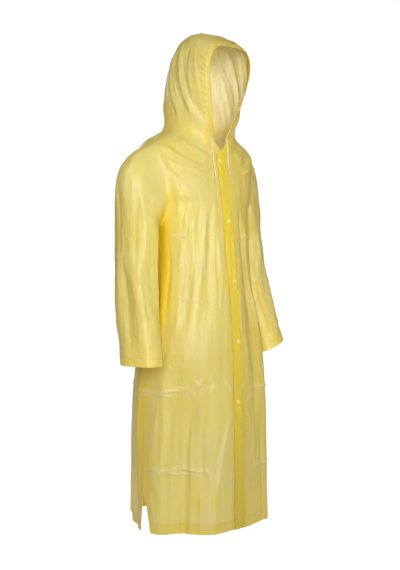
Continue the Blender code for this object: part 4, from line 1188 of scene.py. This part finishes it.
def cord_material():
    """Braided polyester cord: two sets of strands, each at 45 degrees to the cord and 2.4 mm apart."""
    material, tree = new_material("braided_polyester")
    flat = add_node(tree, "ShaderNodeTexCoord").outputs["UV"]
    waves = []
    for turn in (45.0, -45.0):
        turned = add_node(
            tree, "ShaderNodeMapping", {"Rotation": (0.0, 0.0, math.radians(turn))}, {"Vector": flat}
        ).outputs[0]
        waves.append(
            add_node(
                tree, "ShaderNodeTexWave", {"Scale": 130.0, "Distortion": 0.6}, {"Vector": turned}
            ).outputs["Fac"]
        )
    braid = add_node(tree, "ShaderNodeMath", {}, {0: waves[0], 1: waves[1]}, operation="MULTIPLY").outputs[0]
    tint = add_node(tree, "ShaderNodeMix", {}, {"Factor": braid}, data_type="RGBA")
    tint.inputs[6].default_value = hex_colour("D9CFA8")
    tint.inputs[7].default_value = hex_colour(settings().cord.colour)
    bump = add_node(
        tree, "ShaderNodeBump", {"Strength": 0.7, "Distance": 0.0005}, {"Height": braid}
    ).outputs[0]
    surface = add_node(
        tree, "ShaderNodeBsdfPrincipled", {"Roughness": 0.8, "Sheen Weight": 0.3},
        {"Base Color": tint.outputs[2], "Normal": bump},
    ).outputs[0]
    add_node(tree, "ShaderNodeOutputMaterial", {}, {"Surface": surface})
    return material


# ---------------------------------------------------------------- objects
def add_object(name, mesh, material):
    thing = bpy.data.objects.new(name, mesh)
    mesh.materials.append(material)
    bpy.context.scene.collection.objects.link(thing)
    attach(thing, ROOT)
    return thing


def grid_mesh(name, sheet, closed=False):
    """A mesh from a grid of points, with a UV map in metres, and the band, the tone with its painted shade
    and the pressed lines' painted highlight as attributes.
    """
    points, out, band, tone, press_and_highlight = sheet.points, sheet.out, sheet.band, sheet.tone, sheet.press_and_highlight
    if closed:
        layers = (points, out, band, tone, press_and_highlight)
        points, out, band, tone, press_and_highlight = (np.concatenate([a, a[:, :1]], axis=1) for a in layers)
    rows, columns = points.shape[:2]
    bm = bmesh.new()
    bmesh.ops.create_grid(bm, x_segments=columns - 1, y_segments=rows - 1, size=1.0)
    mesh = bpy.data.meshes.new(name)
    bm.to_mesh(mesh)
    bm.free()
    mesh.vertices.foreach_set("co", points.reshape(-1).astype(np.float32))
    across, along = from_edge(points, 1, False), from_edge(points, 0, False)
    level = np.broadcast_to(along.mean(axis=1)[:, None], across.shape)
    places = np.stack([across - across[:, -1:] / 2, level], axis=-1)
    corners = np.empty(len(mesh.loops), np.int32)
    mesh.loops.foreach_get("vertex_index", corners)
    uv = mesh.uv_layers.new(name="UVMap")
    uv.uv.foreach_set("vector", places.reshape(-1, 2)[corners].reshape(-1).astype(np.float32))
    for key, values in (("band", band), ("tone", tone), ("press_and_highlight", press_and_highlight)):
        attribute = mesh.attributes.new(key, "FLOAT", "POINT")
        attribute.data.foreach_set("value", values.reshape(-1).astype(np.float32))
    bm = bmesh.new()
    bm.from_mesh(mesh)
    bm.normal_update()
    bm.verts.ensure_lookup_table()
    probe = bm.verts[(rows // 2) * columns + columns // 3]
    if probe.normal.dot(Vector(out.reshape(-1, 3)[probe.index])) < 0:
        bmesh.ops.reverse_faces(bm, faces=bm.faces)
    if closed:
        bmesh.ops.remove_doubles(bm, verts=bm.verts, dist=1e-6)
    for face in bm.faces:
        face.smooth = True
    for edge in bm.edges:
        edge.smooth = not edge.is_boundary  # keeps the turned edge of a wall from shading its side
    bm.to_mesh(mesh)
    bm.free()
    return mesh


def add_film(name, sheet, nodes, closed=False):
    """A piece of film over its solid, with its thickness turned inwards."""
    film = settings().film
    thing = add_object(name, grid_mesh(name, sheet, closed), film_material("frosted_film", film.single))
    # the inner side gets the paler copy of the film: painted light standing in for light coming through
    thing.data.materials.append(film_material("frosted_film_lit_inside", film.inside))
    shell = thing.modifiers.new("Thickness", "SOLIDIFY")
    shell.thickness = film.thickness
    shell.offset = -1.0
    shell.material_offset = 1
    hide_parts(*nodes)
    return thing


def tube_sheet(path, radius, count=16):
    """A tube round a path, with rings that don't twist."""
    path = np.array(path)
    way = unit(np.gradient(path, axis=0))
    side = unit(np.cross(way[0], [0.31, 0.82, 0.47]))
    rings = []
    for point, forward in zip(path, way):
        side = unit(side - forward * np.dot(side, forward))
        other = np.cross(forward, side)
        turn = 2 * np.pi * np.arange(count) / count
        rings.append(point + radius * (np.cos(turn)[:, None] * side + np.sin(turn)[:, None] * other))
    points = np.array(rings)
    return Sheet(points, unit(points - path[:, None]))


def cap_ends(mesh):
    bm = bmesh.new()
    bm.from_mesh(mesh)
    bmesh.ops.holes_fill(bm, edges=[edge for edge in bm.edges if edge.is_boundary])
    bmesh.ops.recalc_face_normals(bm, faces=bm.faces)
    bm.to_mesh(mesh)
    bm.free()
    mesh.shade_smooth()


def smooth_route(route, step=0.003):
    route = np.array(route)
    lengths = np.concatenate([[0.0], np.cumsum(np.linalg.norm(np.diff(route, axis=0), axis=1))])
    places = np.linspace(0.0, lengths[-1], round(lengths[-1] / step) + 1)
    return np.stack([curve_through(lengths, route[:, axis], places) for axis in range(3)], axis=-1)


def knot_path(size):
    """An overhand knot, pulled tight."""
    t = np.linspace(0.0, 2 * np.pi, 97)
    x, y = np.sin(t) + 2 * np.sin(2 * t), np.cos(t) - 2 * np.cos(2 * t)
    path = np.stack([x, y, -1.25 * np.sin(3 * t)], axis=-1)
    return path * size / 6.0


# ---------------------------------------------------------------- operators
class RAINCOAT_OT_cords(bpy.types.Operator):
    """Adds the two free ends of the hood's drawcord, each with its knot"""

    bl_idname = "raincoat.cords"
    bl_label = "Add Cords"

    def execute(self, context):
        cord = settings().cord
        material = cord_material()
        for name, route in (("cord_right", RIGHT_CORD), ("cord_left", LEFT_CORD)):
            path = smooth_route(route)
            mesh = grid_mesh(name + "_braid", tube_sheet(path, cord.diameter / 2), closed=True)
            cap_ends(mesh)
            line = add_object(name + "_braid", mesh, material)
            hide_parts(name)

            low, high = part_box(name + "_knot")
            centre = (np.array(low) + np.array(high)) / 2
            strand = cord.diameter * 0.36
            bend = knot_path(cord.knot / 2 - strand)
            onwards = unit(path[-1] - path[-2])
            frame_x = unit(np.cross(onwards, [0.0, 1.0, 0.2]))
            turned = bend[:, :1] * frame_x + bend[:, 1:2] * onwards + bend[:, 2:] * np.cross(frame_x, onwards)
            mesh = grid_mesh(name + "_tied", tube_sheet(centre + turned, strand, 12), closed=True)
            cap_ends(mesh)
            run_out = [centre, centre + onwards * 0.0035, centre + onwards * 0.0068]
            tail = tube_sheet(run_out, cord.diameter * 0.42, 12)
            tail_mesh = grid_mesh(name + "_tail", tail, closed=True)
            cap_ends(tail_mesh)
            bm = bmesh.new()
            bm.from_mesh(mesh)
            bm.from_mesh(tail_mesh)
            bm.to_mesh(mesh)
            bm.free()
            bpy.data.meshes.remove(tail_mesh)
            knot = add_object(name + "_tied", mesh, material)
            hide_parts(name + "_knot")
        return {"FINISHED"}


class RAINCOAT_OT_body(bpy.types.Operator):
    """Adds the two fronts with their turned-in strips, and the back"""

    bl_idname = "raincoat.body"
    bl_label = "Add Fronts and Back"

    def execute(self, context):
        sheets = coat_sheets()
        film = settings().film.thickness
        for side, name in ((1, "front_left"), (-1, "front_right")):
            sheet = sheets["fronts"][side]
            strip = sheet.part(slice(1, None), slice(0, LAP_COLUMNS + 1)).inwards(film + LAYER_GAP)
            strip.tone = np.full(strip.points.shape[:2], 0.4)
            facing = add_film(
                name + "_facing_film", strip, [name + "_facing"],
            )
            add_film(
                name + "_film", sheet, [name]
            )
        add_film("back_film", sheets["back"], ["back"])
        return {"FINISHED"}


class RAINCOAT_OT_sleeves(bpy.types.Operator):
    """Adds the two sleeves"""

    bl_idname = "raincoat.sleeves"
    bl_label = "Add Sleeves"

    def execute(self, context):
        sleeves = coat_sheets()["sleeves"]
        for side, name in ((1, "sleeve_left"), (-1, "sleeve_right")):
            add_film(name + "_film", sleeves[side], [name], closed=True)
        return {"FINISHED"}


class RAINCOAT_OT_hood(bpy.types.Operator):
    """Adds the two halves of the hood and the folded casing of its face edge"""

    bl_idname = "raincoat.hood"
    bl_label = "Add Hood"

    def execute(self, context):
        hoods = coat_sheets()["hoods"]
        for side, name in ((1, "hood_left"), (-1, "hood_right")):
            half = hoods[side].part(slice(None), slice(CASING_COLUMNS, None))
            add_film(name + "_film", half, [name])
        casing = casing_sheet(hoods[1], hoods[-1])
        add_film(
            "hood_casing_film", casing, ["hood_casing"],
        )
        return {"FINISHED"}


class RAINCOAT_OT_snaps(bpy.types.Operator):
    """Adds the caps of the snap fasteners down the front"""

    bl_idname = "raincoat.snaps"
    bl_label = "Add Snaps"

    def execute(self, context):
        snap = settings().snaps
        material = snap_material()
        for number, (foot, out, _, _) in enumerate(snap_places()):
            bm = bmesh.new()
            radius = snap.diameter / 2
            bmesh.ops.create_cone(
                bm, cap_ends=True, segments=40, radius1=radius, radius2=radius * 0.93, depth=snap.height
            )
            bmesh.ops.translate(bm, verts=bm.verts, vec=(0.0, 0.0, snap.height / 2))
            rim = [edge for edge in bm.edges if all(vertex.co.z > snap.height / 2 for vertex in edge.verts)]
            bmesh.ops.bevel(bm, geom=rim, offset=0.0009, segments=4, profile=0.5, affect="EDGES", material=-1)
            top = max(bm.faces, key=lambda face: face.calc_center_median().z)
            for width, drop in ((radius * 0.30, 0.0), (radius * 0.06, -0.0005), (radius * 0.12, -0.0001)):
                bmesh.ops.inset_region(bm, faces=[top], thickness=width, depth=drop, use_even_offset=True)
            turn = Vector(out).to_track_quat("Z", "Y").to_matrix()
            bmesh.ops.rotate(bm, verts=bm.verts, cent=(0.0, 0.0, 0.0), matrix=turn)
            bmesh.ops.translate(bm, verts=bm.verts, vec=Vector(foot))
            mesh = bpy.data.meshes.new(f"snap_cap_{number + 1}")
            bm.to_mesh(mesh)
            bm.free()
            mesh.shade_smooth()
            mesh.set_sharp_from_angle(angle=math.radians(40))
            cap = add_object(mesh.name, mesh, material)
            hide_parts(f"snap_{number + 1}")
        return {"FINISHED"}


class RAINCOAT_OT_stage(bpy.types.Operator):
    """Adds the camera, the floor, the white surround and the soft light"""

    bl_idname = "raincoat.stage"
    bl_label = "Add Stage"

    def execute(self, context):
        stage = settings().stage
        scene = context.scene
        scene.view_settings.view_transform = "Standard"
        turn = math.radians(CAMERA_TURN)
        camera = bpy.data.cameras.new("camera")
        camera.sensor_fit = "VERTICAL"
        camera.sensor_height = SENSOR_HEIGHT
        camera.lens = SENSOR_HEIGHT * FOCAL_PIXELS / PHOTO_HEIGHT
        camera.shift_x, camera.shift_y = (pixels / PHOTO_HEIGHT for pixels in SHIFT_PIXELS)
        viewer = bpy.data.objects.new("camera", camera)
        viewer.location = (-CAMERA_AWAY * math.sin(turn), -CAMERA_AWAY * math.cos(turn), CAMERA_HEIGHT)
        viewer.rotation_euler = (math.radians(90.0), 0.0, -turn)
        scene.collection.objects.link(viewer)
        scene.camera = viewer

        bm = bmesh.new()
        bmesh.ops.create_circle(bm, cap_ends=True, segments=96, radius=14.0)
        bmesh.ops.translate(bm, verts=bm.verts, vec=(0.0, 0.0, stage.floor))
        mesh = bpy.data.meshes.new("floor")
        bm.to_mesh(mesh)
        bm.free()
        material, tree = new_material("matt_white_paper")
        surface = add_node(
            tree, "ShaderNodeBsdfPrincipled",
            {
                "Base Color": hex_colour("FCFCFC"), "Roughness": 1.0, "Specular IOR Level": 0.0,
                "Emission Color": (1.0, 1.0, 1.0, 1.0), "Emission Strength": 0.9,
            },
        )
        add_node(tree, "ShaderNodeOutputMaterial", {}, {"Surface": surface.outputs[0]})
        mesh.materials.append(material)
        floor = bpy.data.objects.new("floor", mesh)
        floor.visible_diffuse = False  # a studio's white floor, without its light from below
        scene.collection.objects.link(floor)

        bm = bmesh.new()
        bmesh.ops.create_uvsphere(bm, u_segments=48, v_segments=24, radius=13.9)
        bmesh.ops.reverse_faces(bm, faces=bm.faces)
        mesh = bpy.data.meshes.new("backdrop")
        bm.to_mesh(mesh)
        bm.free()
        material, tree = new_material("lit_white_backdrop")
        glow = add_node(tree, "ShaderNodeEmission", {"Color": (1.0, 1.0, 1.0, 1.0), "Strength": 1.05})
        add_node(tree, "ShaderNodeOutputMaterial", {}, {"Surface": glow.outputs[0]})
        mesh.materials.append(material)
        backdrop = bpy.data.objects.new("backdrop", mesh)
        for way in ("diffuse", "glossy", "transmission", "volume_scatter", "shadow"):
            setattr(backdrop, "visible_" + way, False)
        scene.collection.objects.link(backdrop)

        world = bpy.data.worlds.new("white_surround")
        world.use_nodes = True
        tree = world.node_tree
        background = tree.nodes["Background"]
        background.inputs["Strength"].default_value = stage.world
        way = add_node(tree, "ShaderNodeTexCoord").outputs["Generated"]
        climb = add_node(tree, "ShaderNodeSeparateXYZ", {}, {0: way}).outputs["Z"]
        share = add_node(
            tree, "ShaderNodeMapRange", {"From Min": -1.0, "From Max": 1.0}, {"Value": climb}
        ).outputs["Result"]
        ramp = add_node(tree, "ShaderNodeValToRGB", {}, {"Fac": share})
        for place, grey in ((0.12, 0.20), (0.58, 1.0), (0.98, 0.50)):
            stop = ramp.color_ramp.elements[0] if place < 0.2 else ramp.color_ramp.elements.new(place)
            stop.position, stop.color = place, (grey, grey, grey, 1.0)
        ramp.color_ramp.elements.remove(ramp.color_ramp.elements[-1])
        tree.links.new(ramp.outputs["Color"], background.inputs["Color"])
        scene.world = world

        for name, place, size, power, spread in (
            ("key", (-1.5, -2.0, 0.15), 1.6, stage.key, 68.0),
            ("back", (1.5, 2.6, 0.5), 1.6, stage.key * 1.1, 96.0),
        ):
            lamp = bpy.data.lights.new(name, "AREA")
            lamp.shape = "DISK"
            lamp.size = size
            lamp.energy = power
            lamp.spread = math.radians(spread)
            light = bpy.data.objects.new(name, lamp)
            light.location = place
            towards = Vector(LIGHT_AIM) - Vector(place)
            light.rotation_euler = towards.to_track_quat("-Z", "Y").to_euler()
            scene.collection.objects.link(light)
        return {"FINISHED"}


class RAINCOAT_PT_panel(bpy.types.Panel):
    """Lists the raincoat's settings and operators"""

    bl_idname = "RAINCOAT_PT_panel"
    bl_label = "Raincoat"
    bl_space_type = "VIEW_3D"
    bl_region_type = "UI"
    bl_category = "Raincoat"

    def draw(self, context):
        layout = self.layout
        groups = settings()
        for name in ("film", "snaps", "cord", "stage"):
            group = getattr(groups, name)
            box = layout.box()
            box.label(text=name.title())
            for entry in group.__annotations__:
                box.prop(group, entry)
        for operator in OPERATORS:
            layout.operator(operator.bl_idname)


OPERATORS = (
    RAINCOAT_OT_stage,
    RAINCOAT_OT_cords,
    RAINCOAT_OT_body,
    RAINCOAT_OT_sleeves,
    RAINCOAT_OT_hood,
    RAINCOAT_OT_snaps,
)
CLASSES = (
    RaincoatFilm, RaincoatSnaps, RaincoatCord, RaincoatStage, RaincoatSettings, *OPERATORS,
    RAINCOAT_PT_panel,
)


def register():
    for entry in CLASSES:
        bpy.utils.register_class(entry)
    bpy.types.Scene.raincoat = bpy.props.PointerProperty(type=RaincoatSettings)


def unregister():
    del bpy.types.Scene.raincoat
    for entry in reversed(CLASSES):
        bpy.utils.unregister_class(entry)


def main():
    register()
    bpy.ops.raincoat.stage()
    bpy.ops.raincoat.cords()
    bpy.ops.raincoat.body()
    bpy.ops.raincoat.sleeves()
    bpy.ops.raincoat.hood()
    bpy.ops.raincoat.snaps()
    bpy.context.view_layer.update()


if __name__ == "__main__":
    main()
